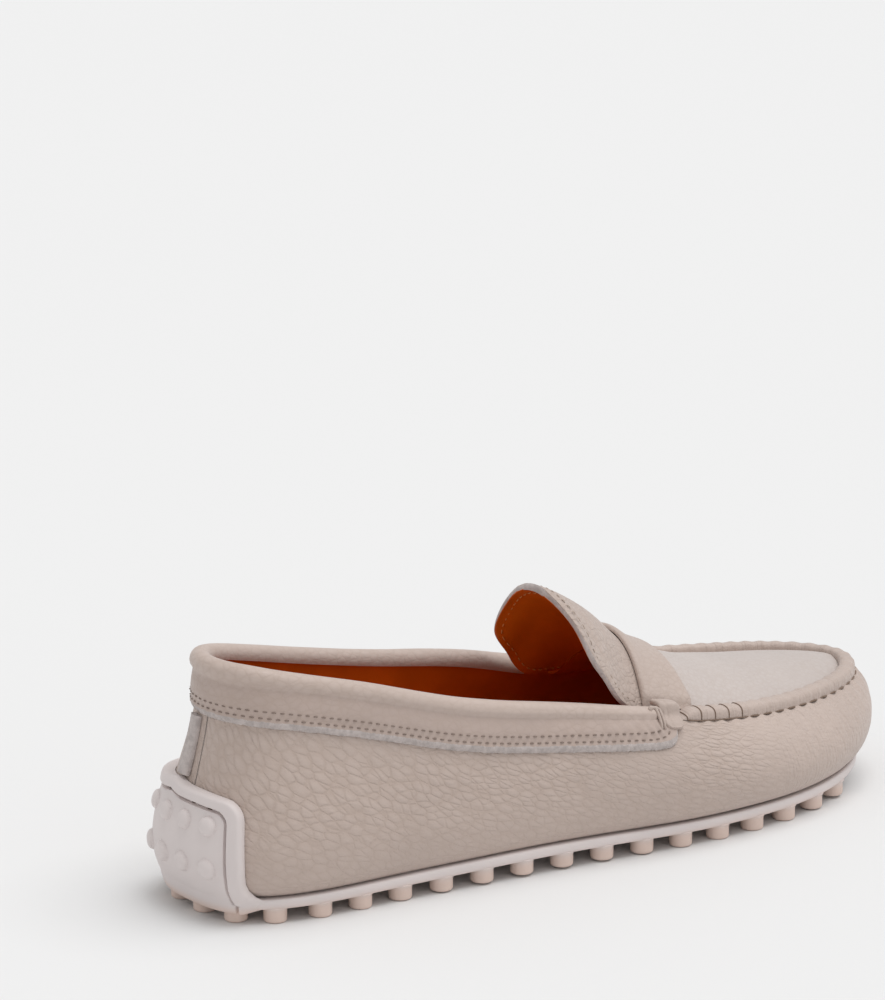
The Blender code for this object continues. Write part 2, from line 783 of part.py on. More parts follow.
def make_domes():
    """Two rows of low round domes on the tab's plate."""
    shape = bmesh.new()
    half = (DOMES_PER_ROW - 1) / 2
    for height in DOME_HEIGHTS:
        for i in range(DOMES_PER_ROW):
            arc = (i - half) * DOME_SPACING
            spot = tab_point(arc, height, TAB_GAP + TAB_PLATE_THICK - DOME_RISE * 0.4)
            place = (HEEL_TURN + arc) % ROUND
            normal = wall_normal(place, share_at_height(place, height))
            turn = Vector((0, 0, 1)).rotation_difference(normal).to_matrix().to_4x4()
            ball = bmesh.ops.create_uvsphere(shape, u_segments=8, v_segments=6, radius=1.0)
            for vert in ball["verts"]:
                flat = Vector((vert.co.x * DOME_RADIUS, vert.co.y * DOME_RADIUS, vert.co.z * DOME_RISE * 1.4))
                vert.co = spot + turn @ flat
    return add_object("domes", shape, None, CUTTERS)


def union(target, tools):
    """Joins the forms into the target with exact Boolean modifiers."""
    for tool in tools:
        tool.hide_render = True
        tool.display_type = "WIRE"
        joined = target.modifiers.new("join_" + tool.name, "BOOLEAN")
        joined.operation = "UNION"
        joined.solver = "EXACT"
        joined.object = tool


def make_outsole(finish):
    sheet = make_sheet()
    sheet.data.materials.append(finish)
    union(sheet, [make_studs(), make_tab(), make_domes()])
    return sheet


# Collar band

def band_depth(place):
    """How far the band reaches down the wall; a little less towards the strap."""
    from_heel = min(place, ROUND - place)
    reach = OUTER_STRAP if place < ROUND / 2 else ROUND - INNER_STRAP
    part = from_heel / reach
    return BAND_DEPTH + (BAND_FRONT_DEPTH - BAND_DEPTH) * part ** 2


def band_section(place):
    """Closed section of the band: a skirt outside the wall and a roll over the wall's top edge."""
    depth = band_depth(place)
    normal = wall_normal(place, 1.0)
    top = wall_base(place, 1.0)
    up = (top - wall_base(place, 0.96)).normalized()
    low = share_below_top(place, depth)
    middle = share_below_top(place, depth * 0.5)
    high = share_below_top(place, depth * 0.15)
    skin = CLEARANCE + BAND_THICK

    def over(out, rise):
        return top + normal * out + up * rise

    return [
        wall(place, low, CLEARANCE), wall(place, low, skin), wall(place, middle, skin * 1.15),
        wall(place, high, skin + 0.6 * ROLL_OUT),
        over(skin + ROLL_OUT * 0.8, 0.35 * ROLL_RISE), over(skin * 0.6, 0.8 * ROLL_RISE),
        over(-0.4 * WALL, ROLL_RISE), over(-WALL - 0.4 * ROLL_IN, 0.75 * ROLL_RISE),
        over(-WALL - ROLL_IN, 0.35 * ROLL_RISE), over(-WALL - 0.5 * ROLL_IN, CLEARANCE),
        over(CLEARANCE, CLEARANCE), wall(place, middle, CLEARANCE),
    ]


def swept(name, sections, finish):
    """A closed solid through sections that have the same number of points, with flat ends."""
    shape = bmesh.new()
    made = add_grid(shape, sections, closed=True)
    shape.faces.new(made[0])
    shape.faces.new(made[-1])
    bmesh.ops.triangulate(shape, faces=[face for face in shape.faces if len(face.verts) > 4])
    return add_object(name, shape, finish)


def make_band(finish):
    """The band runs from the first column behind the strap on the inner side round to the outer side."""
    places = COLUMNS[LAST_FRONT + 1:] + [ROUND + p for p in COLUMNS[:FIRST_FRONT]]
    return swept("collar_band", [band_section(p % ROUND) for p in places], finish)


# Tongue, strap and strap ends

def across_steps(reach):
    return [reach * (-1 + 2 * k / APRON_ACROSS) for k in range(APRON_ACROSS + 1)]


def make_tongue(finish):
    """The lined tab behind the throat; its outline narrows towards the free end."""
    gap = 2 * CLEARANCE
    backs = spaced(gap, TONGUE_LENGTH, TONGUE_ROWS)
    outer = []
    inner = []
    for back in backs:
        top_row = []
        low_row = []
        for across in across_steps(TONGUE_REACH):
            point = tongue(across, back)
            normal = surface_normal(tongue, across, min(back, TONGUE_LENGTH - MM), 1.0 * MM)
            top_row.append(point)
            low_row.append(point - normal * TONGUE_THICK)
        outer.append(top_row)
        inner.append(low_row)
    return add_object("tongue", add_slab(outer, inner), finish)


def strap_edges(across):
    """How far the strap reaches behind and in front of the throat; it widens towards its ends."""
    widen = 1 + STRAP_WIDEN * across * across
    return STRAP_BACK * widen, STRAP_FRONT * widen


def make_strap(finish):
    """The saddle strap that lies across the instep from seam to seam."""
    outer = []
    inner = []
    for row in range(STRAP_ROWS + 1):
        top_row = []
        low_row = []
        for across in across_steps(STRAP_REACH):
            back, front = strap_edges(across)
            forward = -back + (back + front) * row / STRAP_ROWS
            low_row.append(bridge_lifted(across, forward, 2 * CLEARANCE))
            top_row.append(bridge_lifted(across, forward, 2 * CLEARANCE + STRAP_THICK))
        outer.append(top_row)
        inner.append(low_row)
    return add_object("strap", add_slab(outer, inner), finish)


def make_strap_end(name, place, finish):
    """The short wrap that carries the strap over the seam and down the wall."""
    lifts = (2 * CLEARANCE, 2 * CLEARANCE + WRAP_THICK)
    grids = []
    for lift in lifts:
        rows = []
        for k in range(4):
            here = place + (k / 3 - 0.5) * WRAP_WIDTH
            base = wall_base(here, 1.0)
            end = seam_inner(here)
            up = Vector((0, 0, 1))
            out = wall_normal(here, 1.0)
            crest = RIDGE_HEIGHT * 0.8
            row = [
                wall(here, share_below_top(here, WRAP_DROP), lift),
                wall(here, share_below_top(here, WRAP_DROP * 0.4), lift),
                base + out * (lift * 0.9) + up * crest * 0.25,
                base + out * (lift * 0.3) + up * (crest + lift * 0.9),
                end + up * (crest + lift),
            ]
            rows.append(row)
        grids.append(rows)
    return add_object(name, add_slab(grids[1], grids[0]), finish)


# Back strip and insole

def make_back_strip(finish):
    """The strip over the back seam, from the band's lower edge to the tab's top."""
    low = TAB_PEAK + 2 * CLEARANCE
    rows_out = []
    rows_in = []
    for level in range(5):
        row_out = []
        row_in = []
        for arc in spaced(-STRIP_WIDTH / 2, STRIP_WIDTH / 2, 4):
            place = (HEEL_TURN + arc) % ROUND
            start = share_at_height(place, low)
            end = share_below_top(place, band_depth(place)) - STRIP_END_CLEAR
            share = start + (end - start) * level / 4
            bulge = 1 - STRIP_EDGE_THINNING * abs(arc) / (STRIP_WIDTH / 2)
            row_out.append(wall(place, share, CLEARANCE + STRIP_THICK * bulge))
            row_in.append(wall(place, share, CLEARANCE))
        rows_out.append(row_out)
        rows_in.append(row_in)
    return add_object("back_strip", add_slab(rows_out, rows_in), finish)


def make_insole(finish):
    """The sock inside, resting on the leather that is turned in under the foot."""
    shape = bmesh.new()
    rings = []
    for height in (0.0, INSOLE_THICK):
        ring = []
        for place in COLUMNS:
            inset = WALL + FOOT_RADIUS + INSOLE_CLEAR
            spot = under_foot(place, inset, WALL + CLEARANCE + height)
            ring.append(spot)
        rings.append(ring)
    made = add_grid(shape, rings, closed=True)
    for ring in made:
        pairs = side_pairs()
        shape.faces.new((ring[0], ring[pairs[0][0]], ring[pairs[0][1]]))
        for one, two in zip(pairs, pairs[1:]):
            shape.faces.new((ring[one[0]], ring[two[0]], ring[two[1]], ring[one[1]]))
        shape.faces.new((ring[pairs[-1][0]], ring[TIP_COLUMN], ring[pairs[-1][1]]))
    return add_object("insole", shape, finish)


def centre_on_origin(pieces):
    """Hangs the pieces on one empty that puts the box's bottom centre at the origin."""
    bpy.context.view_layer.update()
    graph = bpy.context.evaluated_depsgraph_get()
    low = Vector((math.inf,) * 3)
    high = Vector((-math.inf,) * 3)
    for piece in pieces:
        mesh = piece.evaluated_get(graph).to_mesh()
        for vert in mesh.vertices:
            low = Vector(map(min, low, vert.co))
            high = Vector(map(max, high, vert.co))
        piece.evaluated_get(graph).to_mesh_clear()
    anchor = bpy.data.objects.new("shoe_origin", None)
    PARTS.objects.link(anchor)
    anchor.location = (-(low.x + high.x) / 2, -(low.y + high.y) / 2, -low.z)
    for piece in pieces + list(CUTTERS.objects):
        piece.parent = anchor


def main():
    clear_scene()
    leather = material("greige_leather", (0.46, 0.37, 0.32), 0.55)
    rubber = material("pale_rubber", (0.70, 0.61, 0.58), 0.5)
    lining = material("tan_lining", (0.33, 0.09, 0.012), 0.5)
    pieces = [
        make_outsole(rubber),
        make_upper(leather),
        make_tongue(leather),
        make_strap(leather),
        make_strap_end("strap_end_outer", OUTER_STRAP - WRAP_SHIFT, leather),
        make_strap_end("strap_end_inner", INNER_STRAP + WRAP_SHIFT, leather),
        make_band(leather),
        make_back_strip(leather),
        make_insole(lining),
    ]
    centre_on_origin(pieces)


main()
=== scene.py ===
# Looks of a right driving moccasin: leather, seams, padded collar, tongue, strap and studded rubber sole.
# Metres, +Z up, +Y towards the toe, +X towards the outer side of the foot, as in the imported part.
import math

import bmesh
import bpy
import numpy as np
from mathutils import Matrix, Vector


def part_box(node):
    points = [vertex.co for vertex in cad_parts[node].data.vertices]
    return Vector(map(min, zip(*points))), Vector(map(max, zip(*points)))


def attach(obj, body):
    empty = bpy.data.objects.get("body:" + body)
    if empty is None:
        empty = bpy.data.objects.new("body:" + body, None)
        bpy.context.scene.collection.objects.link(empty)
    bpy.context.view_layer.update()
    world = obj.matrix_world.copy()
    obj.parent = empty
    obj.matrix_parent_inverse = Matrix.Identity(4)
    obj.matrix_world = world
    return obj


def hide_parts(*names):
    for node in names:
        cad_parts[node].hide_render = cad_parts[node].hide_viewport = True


bl_info = {
    "name": "Driving moccasin",
    "version": (1, 0, 0),
    "blender": (4, 5, 0),
    "location": "View3D > Sidebar > Moccasin",
    "description": "Dresses the frame of a driving moccasin with leather, seams, threads and a rubber sole",
    "category": "Add Mesh",
}

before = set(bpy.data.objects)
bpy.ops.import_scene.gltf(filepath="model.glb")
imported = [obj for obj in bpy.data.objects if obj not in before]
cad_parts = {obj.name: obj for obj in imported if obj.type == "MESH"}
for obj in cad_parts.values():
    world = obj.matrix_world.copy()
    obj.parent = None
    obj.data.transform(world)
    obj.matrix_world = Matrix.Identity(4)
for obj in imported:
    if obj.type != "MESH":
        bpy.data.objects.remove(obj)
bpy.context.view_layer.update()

MM = 0.001
UP = np.array((0.0, 0.0, 1.0))
ROOT = "root"

# Driving dimensions of the last, the same as in the part's source
LENGTH = 0.291
BALL_WIDTH = 0.097
BACK_HEIGHT = 0.0863
INSTEP_HEIGHT = 0.0660
TOE_HEIGHT = 0.0350
WALL = 2.2 * MM
MARGIN_UNDER_FOOT = 12.0 * MM
FOOT_RADIUS = 2.6 * MM
CLEARANCE = 0.3 * MM
RIDGE_HEIGHT = 3.6 * MM
RIDGE_WIDTH = 4.6 * MM
RIDGE_RAMP = 9.0 * MM
SEAM_STEP = 0.55 * MM
SEAM_LOOPS = 5

STUD_HEIGHT = 5.0 * MM
STUD_RADIUS = 3.9 * MM
STUD_ROUND = 0.9 * MM
EDGE_STUDS = 40
STUD_START = -14.0 * MM
STUD_INSET = 4.2 * MM
TOE_PLAIN = 40.0 * MM
STUD_ROW_STEP = 15.0 * MM
STUD_ROW_INSET = 18.0 * MM
STUD_SINK = 1.5 * MM
SHEET = 3.4 * MM
SHEET_LIP = 1.3 * MM
SHEET_ROUND = 0.75 * MM
ARCH_RISE = 0.8 * MM
ARCH_MIDDLE = 0.42
ARCH_REACH = 0.24
TOE_SPRING = 3.6 * MM
SPRING_START = 0.74

HEEL_TURN = -8.5 * MM
TAB_PEAK = 0.0437
TAB_TOP = 0.0425
TAB_CORNER = 0.0405
TAB_HALF_ARC = 31.6 * MM
TAB_PEAK_REACH = 0.22
TAB_GAP = 0.5 * MM
TAB_RIM_THICK = 3.6 * MM
TAB_PLATE_THICK = 2.3 * MM
TAB_FLAT_ROUND = 5.5 * MM
TAB_FLARE = 7.0 * MM
TAB_GROOVE = 1.0 * MM
TAB_INNER_ROUND = 8.0 * MM
GROOVE_INSET = 4.6 * MM
GROOVE_FOOT = 17.0 * MM
DOME_RADIUS = 3.0 * MM
DOME_RISE = 1.9 * MM
DOME_SPACING = 10.5 * MM
DOMES_PER_ROW = 5
DOME_HEIGHTS = (0.0190, 0.0320)

ROLL_RISE = 4.4 * MM
ROLL_OUT = 1.4 * MM
ROLL_IN = 1.6 * MM
BAND_THICK = 1.5 * MM
BAND_DEPTH = 15.0 * MM
BAND_FRONT_DEPTH = 11.0 * MM
ROLL_END = 9.6 * MM
ROLL_FULL = 11.6 * MM
BAND_END = 4.0 * MM
BAND_CORNER = 10.0 * MM
BAND_LOW_END = 4.0 * MM
BAND_RAW = 2.1 * MM
BAND_SEAMS = (3.2 * MM, 5.4 * MM)

TONGUE_THICK = 2.4 * MM
TONGUE_REACH = 0.97
STRAP_THICK = 1.8 * MM
STRAP_BACK = 6.5 * MM
STRAP_FRONT = 8.5 * MM
STRAP_REACH = 0.965
STRAP_WIDEN = 0.25
WRAP_WIDTH = 8.2 * MM
WRAP_SHIFT = 4.5 * MM
WRAP_THICK = 2.0 * MM
WRAP_DROP = 4.8 * MM
CORD_BACKS = (9.2 * MM, 10.5 * MM)
CORD_RADIUS = 0.55 * MM
KNOT_BACK = 11.4 * MM
KNOT_RADIUS = 0.7 * MM
STRIP_WIDTH = 7.6 * MM
STRIP_THICK = 1.9 * MM
STRIP_RAW = 2.6 * MM
STRIP_END_CLEAR = 0.012
INSOLE_CLEAR = 0.6 * MM

# Rings of the insole from its underside up, each with its inset and height in millimetres
INSOLE_RINGS = ((1.5, 0.0), (0.0, 0.3), (0.0, 0.9), (0.6, 1.6), (3.0, 1.75), (8.0, 1.6))

# Sections round the foot, as shares: side and top_side of BALL_WIDTH, along and top_along of LENGTH, the top
# of the wall of BACK_HEIGHT or TOE_HEIGHT, and swell and lean of BALL_WIDTH at the height shares rise and
# drop.
SECTION_COLUMNS = ("name", "side", "along", "top_side", "top_along", "back_share", "toe_share",
                   "swell", "rise", "lean", "drop")
SECTIONS = (
    ("heel_back", 0.000, 0.030, 0.000, 0.055, 0.930, 0.00, 0.110, 0.24, 0.000, 0.46),
    ("back_corner", 0.205, 0.045, 0.130, 0.068, 0.928, 0.00, 0.110, 0.24, 0.010, 0.46),
    ("heel_side", 0.310, 0.117, 0.208, 0.114, 0.893, 0.00, 0.095, 0.26, 0.035, 0.40),
    ("heel_front", 0.330, 0.207, 0.252, 0.207, 0.810, 0.00, 0.075, 0.30, 0.045, 0.38),
    ("waist", 0.358, 0.327, 0.292, 0.327, 0.690, 0.00, 0.065, 0.34, 0.045, 0.36),
    ("middle", 0.392, 0.467, 0.325, 0.467, 0.594, 0.00, 0.070, 0.36, 0.060, 0.32),
    ("strap", 0.440, 0.627, 0.352, 0.622, 0.490, 0.00, 0.085, 0.36, 0.100, 0.22),
    ("little_toe", 0.428, 0.747, 0.320, 0.742, 0.000, 1.06, 0.090, 0.34, 0.110, 0.20),
    ("toe_corner", 0.325, 0.868, 0.235, 0.866, 0.000, 1.00, 0.095, 0.30, 0.105, 0.22),
    ("toe_side", 0.160, 0.937, 0.110, 0.947, 0.000, 1.00, 0.095, 0.28, 0.090, 0.24),
    ("toe_tip", -0.060, 0.966, -0.075, 0.979, 0.000, 1.02, 0.085, 0.28, 0.085, 0.24),
    ("big_toe_corner", -0.270, 0.937, -0.265, 0.942, 0.000, 1.02, 0.085, 0.28, 0.085, 0.24),
    ("big_toe", -0.430, 0.843, -0.375, 0.852, 0.000, 1.06, 0.085, 0.32, 0.085, 0.22),
    ("inner_ball", -0.492, 0.722, -0.405, 0.722, 0.000, 1.16, 0.080, 0.34, 0.090, 0.22),
    ("inner_strap", -0.470, 0.612, -0.385, 0.612, 0.508, 0.00, 0.070, 0.36, 0.080, 0.24),
    ("inner_middle", -0.402, 0.493, -0.340, 0.487, 0.615, 0.00, 0.060, 0.36, 0.055, 0.32),
    ("arch", -0.345, 0.367, -0.300, 0.363, 0.700, 0.00, 0.060, 0.36, 0.040, 0.36),
    ("inner_heel", -0.318, 0.233, -0.255, 0.230, 0.800, 0.00, 0.070, 0.30, 0.040, 0.38),
    ("inner_heel_side", -0.303, 0.120, -0.208, 0.117, 0.893, 0.00, 0.090, 0.26, 0.035, 0.40),
    ("inner_back_corner", -0.205, 0.045, -0.130, 0.068, 0.928, 0.00, 0.110, 0.24, 0.010, 0.46),
)
CROWN_COLUMNS = ("place", "rise", "bow")
CROWN = (
    (0.00, 0.262, 0.014),
    (0.14, 0.192, 0.015),
    (0.30, 0.130, 0.012),
    (0.50, 0.090, 0.008),
    (0.75, 0.060, 0.004),
    (1.00, 0.015, 0.000),
)
TONGUE_COLUMNS = ("back", "top", "outer_half", "outer", "inner_half", "inner", "setback")
TONGUE = (
    (0.016, 0.975, 0.314, 0.655, 0.318, 0.675, 0.016),
    (0.042, 1.080, 0.304, 0.690, 0.304, 0.675, 0.016),
    (0.062, 1.150, 0.312, 0.760, 0.297, 0.705, 0.015),
    (0.080, 1.205, 0.320, 0.850, 0.291, 0.780, 0.012),
    (0.102, 1.265, 0.305, 0.970, 0.277, 0.890, 0.006),
    (0.120, 1.305, 0.265, 1.120, 0.235, 1.085, 0.003),
    (0.127, 1.318, 0.172, 1.238, 0.150, 1.230, 0.001),
)

# Folds of the wall: middle as a share of the way round, height as a share of FOLD_HEIGHT, and in millimetres
# the run and climb of the line, how deep it is and how wide.
FOLD_HEIGHT = 45.0 * MM
FOLD_COLUMNS = ("around", "height", "run", "climb", "deep", "wide")
WALL_FOLDS = (
    (0.060, 0.20, 16.0, 2.0, 0.28, 3.2),
    (0.150, 0.52, 34.0, -4.0, 0.30, 6.0),
    (0.235, 0.38, 30.0, 3.0, 0.35, 7.0),
    (0.300, 0.74, 5.0, 14.0, 0.25, 2.4),
    (0.318, 0.80, -3.0, 12.0, 0.30, 2.2),
    (0.345, 0.70, 4.0, 15.0, 0.22, 2.6),
    (0.410, 0.50, 8.0, 12.0, 0.24, 3.4),
    (0.560, 0.55, -8.0, 12.0, 0.26, 3.4),
    (0.680, 0.72, 4.0, 13.0, 0.26, 2.4),
    (0.720, 0.45, 32.0, 3.0, 0.34, 6.5),
    (0.840, 0.50, 34.0, -3.0, 0.30, 6.0),
    (0.940, 0.22, 16.0, 2.0, 0.26, 3.2),
)

# Creases at the band's front ends, in millimetres: how far back, how deep and wide, and how far they lean.
CREASE_COLUMNS = ("back", "deep", "wide", "lean")
BAND_CREASES = (
    (12.5, 0.55, 1.0, 3.0),
    (16.0, 0.45, 1.4, 4.0),
    (20.5, 0.40, 1.6, 6.0),
    (26.0, 0.28, 2.0, 7.0),
    (34.0, 0.20, 2.4, 6.0),
)

# Kinds of leather: the colour's name, the grain's cell and crease depth in millimetres, its stretch, the
# share of fine grain, the wrinkles at the toe, and the turn in radians of a grain that follows the wall.
LEATHER_COLUMNS = ("name", "paint", "pebble", "depth", "stretch", "fine", "wrinkles", "flow")
LEATHERS = (
    ("leather_wall", "leather", 4.6, 0.36, 2.1, 0.4, 0.5, 0.38),
    # The apron's colour is a painted sheen: lighter and greyer than the wall's leather, for the light that
    # shines off its top.
    ("leather_apron", "leather_top", 2.0, 0.13, 1.0, 0.6, 0.0, 0.0),
    ("leather_band", "leather_band", 3.4, 0.15, 1.5, 0.4, 0.0, 0.0),
    ("leather_tongue", "leather", 2.9, 0.45, 1.1, 0.5, 0.0, 0.0),
    ("leather_strap", "leather", 2.4, 0.18, 1.2, 0.5, 0.0, 0.0),
)
THREADS = ("thread_grey", "thread_pale", "thread_brown", "thread_orange", "thread_seam")

# Fineness of the meshes and the unevenness, and steps of a search by halving
REAR = 200
FRONT = 130
WALL_ROWS = 58
APRON_ACROSS = 72
THREAD_SIDES = 5
CORD_SIDES = 10
WAVES = 7
HALVINGS = 22

# Heights that the faces of the wall and the band have in the skin, and where the painted highlight of the
# roll's top starts in it
SKIN_HEIGHT = 50.0 * MM
BAND_SKIN = 30.0 * MM
ROLL_PAINTED_LIGHT = (14.0 * MM, 17.5 * MM)


# Smooth curves through the tables

def named(columns, rows):
    """Rows of a table as dictionaries by column name."""
    return [dict(zip(columns, row)) for row in rows]


def unit(vectors):
    return vectors / np.maximum(np.linalg.norm(vectors, axis=-1, keepdims=True), 1e-12)


def solve_moments(knots, values, period):
    """Second derivatives of the cubic spline through the values, closed when a period is given."""
    count = len(knots)
    matrix = np.zeros((count, count))
    right = np.zeros((count, values.shape[1]))
    for i in range(count):
        if period is None and i in (0, count - 1):
            matrix[i, i] = 1.0
            continue
        before = (i - 1) % count
        after = (i + 1) % count
        step_before = (knots[i] - knots[before]) % period if period else knots[i] - knots[before]
        step_after = (knots[after] - knots[i]) % period if period else knots[after] - knots[i]
        matrix[i, before] += step_before / 6
        matrix[i, i] += (step_before + step_after) / 3
        matrix[i, after] += step_after / 6
        right[i] = (values[after] - values[i]) / step_after - (values[i] - values[before]) / step_before
    return np.linalg.solve(matrix, right)


class Curve:
    """A cubic spline through rows of values, read at many places at once."""

    def __init__(self, knots, values, period=None):
        self.knots = np.array(knots, float)
        self.values = np.array(values, float)
        self.period = period
        self.moments = solve_moments(self.knots, self.values, period)
        self.steps = np.roll(self.knots, -1) - self.knots
        if period:
            self.steps = self.steps % period

    def __call__(self, place):
        place = np.asarray(place, float)
        count = len(self.knots)
        if self.period:
            place = place % self.period
            low = np.searchsorted(self.knots, place, side="right") - 1
        else:
            place = np.clip(place, self.knots[0], self.knots[-1])
            low = np.minimum(np.searchsorted(self.knots, place, side="right") - 1, count - 2)
        high = (low + 1) % count
        step = self.steps[low][..., None]
        b = (place - self.knots[low])[..., None] / step
        a = 1 - b
        bend = ((a ** 3 - a) * self.moments[low] + (b ** 3 - b) * self.moments[high]) * step ** 2 / 6
        return a * self.values[low] + b * self.values[high] + bend


def section_sizes(value):
    top = value["back_share"] * BACK_HEIGHT + value["toe_share"] * TOE_HEIGHT
    return (value["side"] * BALL_WIDTH, value["along"] * LENGTH,
            value["top_side"] * BALL_WIDTH, value["top_along"] * LENGTH, top,
            value["swell"] * BALL_WIDTH, value["rise"], value["lean"] * BALL_WIDTH, value["drop"])


def chord_knots(rows):
    knots = [0.0]
    for one, two in zip(rows, rows[1:] + rows[:1]):
        knots.append(knots[-1] + math.dist(one[:2], two[:2]))
    return knots[:-1], knots[-1]


SECTION_ROWS = named(SECTION_COLUMNS, SECTIONS)
SIZES = [section_sizes(value) for value in SECTION_ROWS]
KNOTS, ROUND = chord_knots(SIZES)
LAST = Curve(KNOTS, SIZES, ROUND)
AT = dict(zip([value["name"] for value in SECTION_ROWS], KNOTS))
OUTER_STRAP = AT["strap"]
TIP = AT["toe_tip"]
INNER_STRAP = AT["inner_strap"]


# The shape of the last, as in the part's source

def level(x, y, z=0.0):
    x, y, z = np.broadcast_arrays(x, y, z)
    return np.stack([x, y, z], -1)


def sheet_bottom(along):
    share = np.asarray(along) / LENGTH
    waist = np.maximum(0.0, 1 - ((share - ARCH_MIDDLE) / ARCH_REACH) ** 2)
    spring = np.maximum(0.0, (share - SPRING_START) / (1 - SPRING_START))
    return STUD_HEIGHT + ARCH_RISE * waist ** 2 + TOE_SPRING * spring ** 2


def foot_level(along):
    return sheet_bottom(along) + SHEET + CLEARANCE


def outward(place):
    step = 0.5 * MM
    run = LAST(place + step)[..., :2] - LAST(place - step)[..., :2]
    run = unit(run)
    return level(run[..., 1], -run[..., 0])


def wall_base(place, share):
    """Points on the outer face of the wall at shares of its height."""
    place, share = np.broadcast_arrays(np.asarray(place, float), np.asarray(share, float))
    side, along, top_side, top_along, top, swell, rise, lean, drop = np.moveaxis(LAST(place), -1, 0)
    out = outward(place)
    low = foot_level(along)
    height = top - low
    foot = level(side, along, low)
    head = level(top_side, top_along, top)
    first = foot + out * swell[..., None] + UP * (rise * height)[..., None]
    second = head + out * lean[..., None] - UP * (drop * height)[..., None]
    b = share[..., None]
    a = 1 - b
    return foot * a ** 3 + first * 3 * a * a * b + second * 3 * a * b * b + head * b ** 3


def wall_normal(place, share):
    step = 0.4 * MM
    share = np.asarray(share, float)
    low = np.maximum(share - 0.02, 0.0)
    high = np.minimum(share + 0.02, 1.0)
    round_step = wall_base(place + step, share) - wall_base(place - step, share)
    up_step = wall_base(place, high) - wall_base(place, low)
    return unit(np.cross(round_step, up_step))


def lifted(points, normals, lift):
    return points + normals * np.broadcast_to(lift, points.shape[:-1])[..., None]


def wall(place, share, lift=0.0):
    return lifted(wall_base(place, share), wall_normal(place, share), lift)


def share_below_top(place, distance):
    length = np.linalg.norm(wall_base(place, 1.0) - wall_base(place, 0.75), axis=-1) / 0.25
    return 1.0 - distance / length


def share_at_height(place, height):
    place, height = np.broadcast_arrays(np.asarray(place, float), np.asarray(height, float))
    low = np.zeros(place.shape)
    high = np.ones(place.shape)
    for _ in range(HALVINGS):
        middle = (low + high) / 2
        below = wall_base(place, middle)[..., 2] < height
        low = np.where(below, middle, low)
        high = np.where(below, high, middle)
    return (low + high) / 2


CROWN_ROWS = named(CROWN_COLUMNS, CROWN)
CROWN_CURVE = Curve([value["place"] for value in CROWN_ROWS],
                    [(value["rise"] * INSTEP_HEIGHT, value["bow"] * LENGTH) for value in CROWN_ROWS])


def smooth_step(part):
    part = np.clip(part, 0.0, 1.0)
    return part * part * (3 - 2 * part)


def ridge_share(place):
    from_strap = np.minimum(place - OUTER_STRAP, INNER_STRAP - place)
    return smooth_step(from_strap / RIDGE_RAMP)


def seam_inward(place):
    step = 1.0 * MM
    run = wall_base(place + step, 1.0) - wall_base(place - step, 1.0)
    return unit(level(-run[..., 1], run[..., 0]))


def seam_inner(place):
    return wall_base(place, 1.0) + seam_inward(place) * RIDGE_WIDTH + UP * SEAM_STEP


def arch(outer, inner, across, rise, bow):
    share = (across + 1)[..., None] / 2
    crown = 1 - across * across
    return outer * (1 - share) + inner * share + level(0.0, bow * crown, rise * crown)


def apron(across, part):
    """Points on the apron's face, part 0 at the throat and 1 at the toe tip."""
    across, part = np.broadcast_arrays(np.asarray(across, float), np.asarray(part, float))
    rise, bow = np.moveaxis(CROWN_CURVE(part), -1, 0)
    outer = OUTER_STRAP + (TIP - OUTER_STRAP) * part
    inner = INNER_STRAP + (TIP - INNER_STRAP) * part
    return arch(seam_inner(outer), seam_inner(inner), across, rise, bow)


def tongue_rows():
    rise, bow = CROWN_CURVE(0.0)
    outer = seam_inner(OUTER_STRAP)
    inner = seam_inner(INNER_STRAP)
    middle = apron(0.0, 0.0)
    centre = (outer[0] + inner[0]) / 2
    rows = [(*outer, *inner, rise, bow)]
    knots = [0.0]
    for value in named(TONGUE_COLUMNS, TONGUE):
        back = value["back"] * LENGTH
        setback = value["setback"] * LENGTH
        outer_level = value["outer"] * INSTEP_HEIGHT
        inner_level = value["inner"] * INSTEP_HEIGHT
        along = middle[1] - back - setback
        rows.append((centre + value["outer_half"] * BALL_WIDTH, along, outer_level,
                     centre - value["inner_half"] * BALL_WIDTH, along, inner_level,
                     value["top"] * INSTEP_HEIGHT - (outer_level + inner_level) / 2, setback))
        knots.append(back)
    return Curve(knots, rows)


TONGUE_CURVE = tongue_rows()
TONGUE_LENGTH = TONGUE_CURVE.knots[-1]


def tongue(across, back):
    """Points on the tongue's outer face, a distance behind the throat."""
    across, back = np.broadcast_arrays(np.asarray(across, float), np.asarray(back, float))
    row = TONGUE_CURVE(back)
    return arch(row[..., 0:3], row[..., 3:6], across, row[..., 6], row[..., 7])


def bridge(across, forward):
    """Outer face across the instep: the apron in front of the throat and the tongue behind it."""
    across, forward = np.broadcast_arrays(np.asarray(across, float), np.asarray(forward, float))
    ahead = apron(across, np.maximum(forward, 0.0) / (TIP - OUTER_STRAP))
    behind = tongue(across, np.maximum(-forward, 0.0))
    return np.where((forward < 0)[..., None], behind, ahead)


def face_normal(face, across, along, step):
    low = np.maximum(across - 0.01, -1.0)
    high = np.minimum(across + 0.01, 1.0)
    over = face(high, along) - face(low, along)
    forward = face(across, along + step) - face(across, along - step)
    normal = unit(np.cross(over, forward))
    return np.where(normal[..., 2:] > 0, normal, -normal)


def under_foot(place, inset, height):
    row = LAST(place)
    spot = level(row[..., 0], row[..., 1]) - outward(place) * np.broadcast_to(inset, place.shape)[..., None]
    return level(spot[..., 0], spot[..., 1], foot_level(spot[..., 1]) + height)


def places_round(rear, front):
    """Places round the foot from the heel back, outer side first, without the closing one."""
    return np.concatenate([
        np.linspace(0.0, OUTER_STRAP, rear, endpoint=False),
        np.linspace(OUTER_STRAP, TIP, front, endpoint=False),
        np.linspace(TIP, INNER_STRAP, front, endpoint=False),
        np.linspace(INNER_STRAP, ROUND, rear, endpoint=False),
    ])


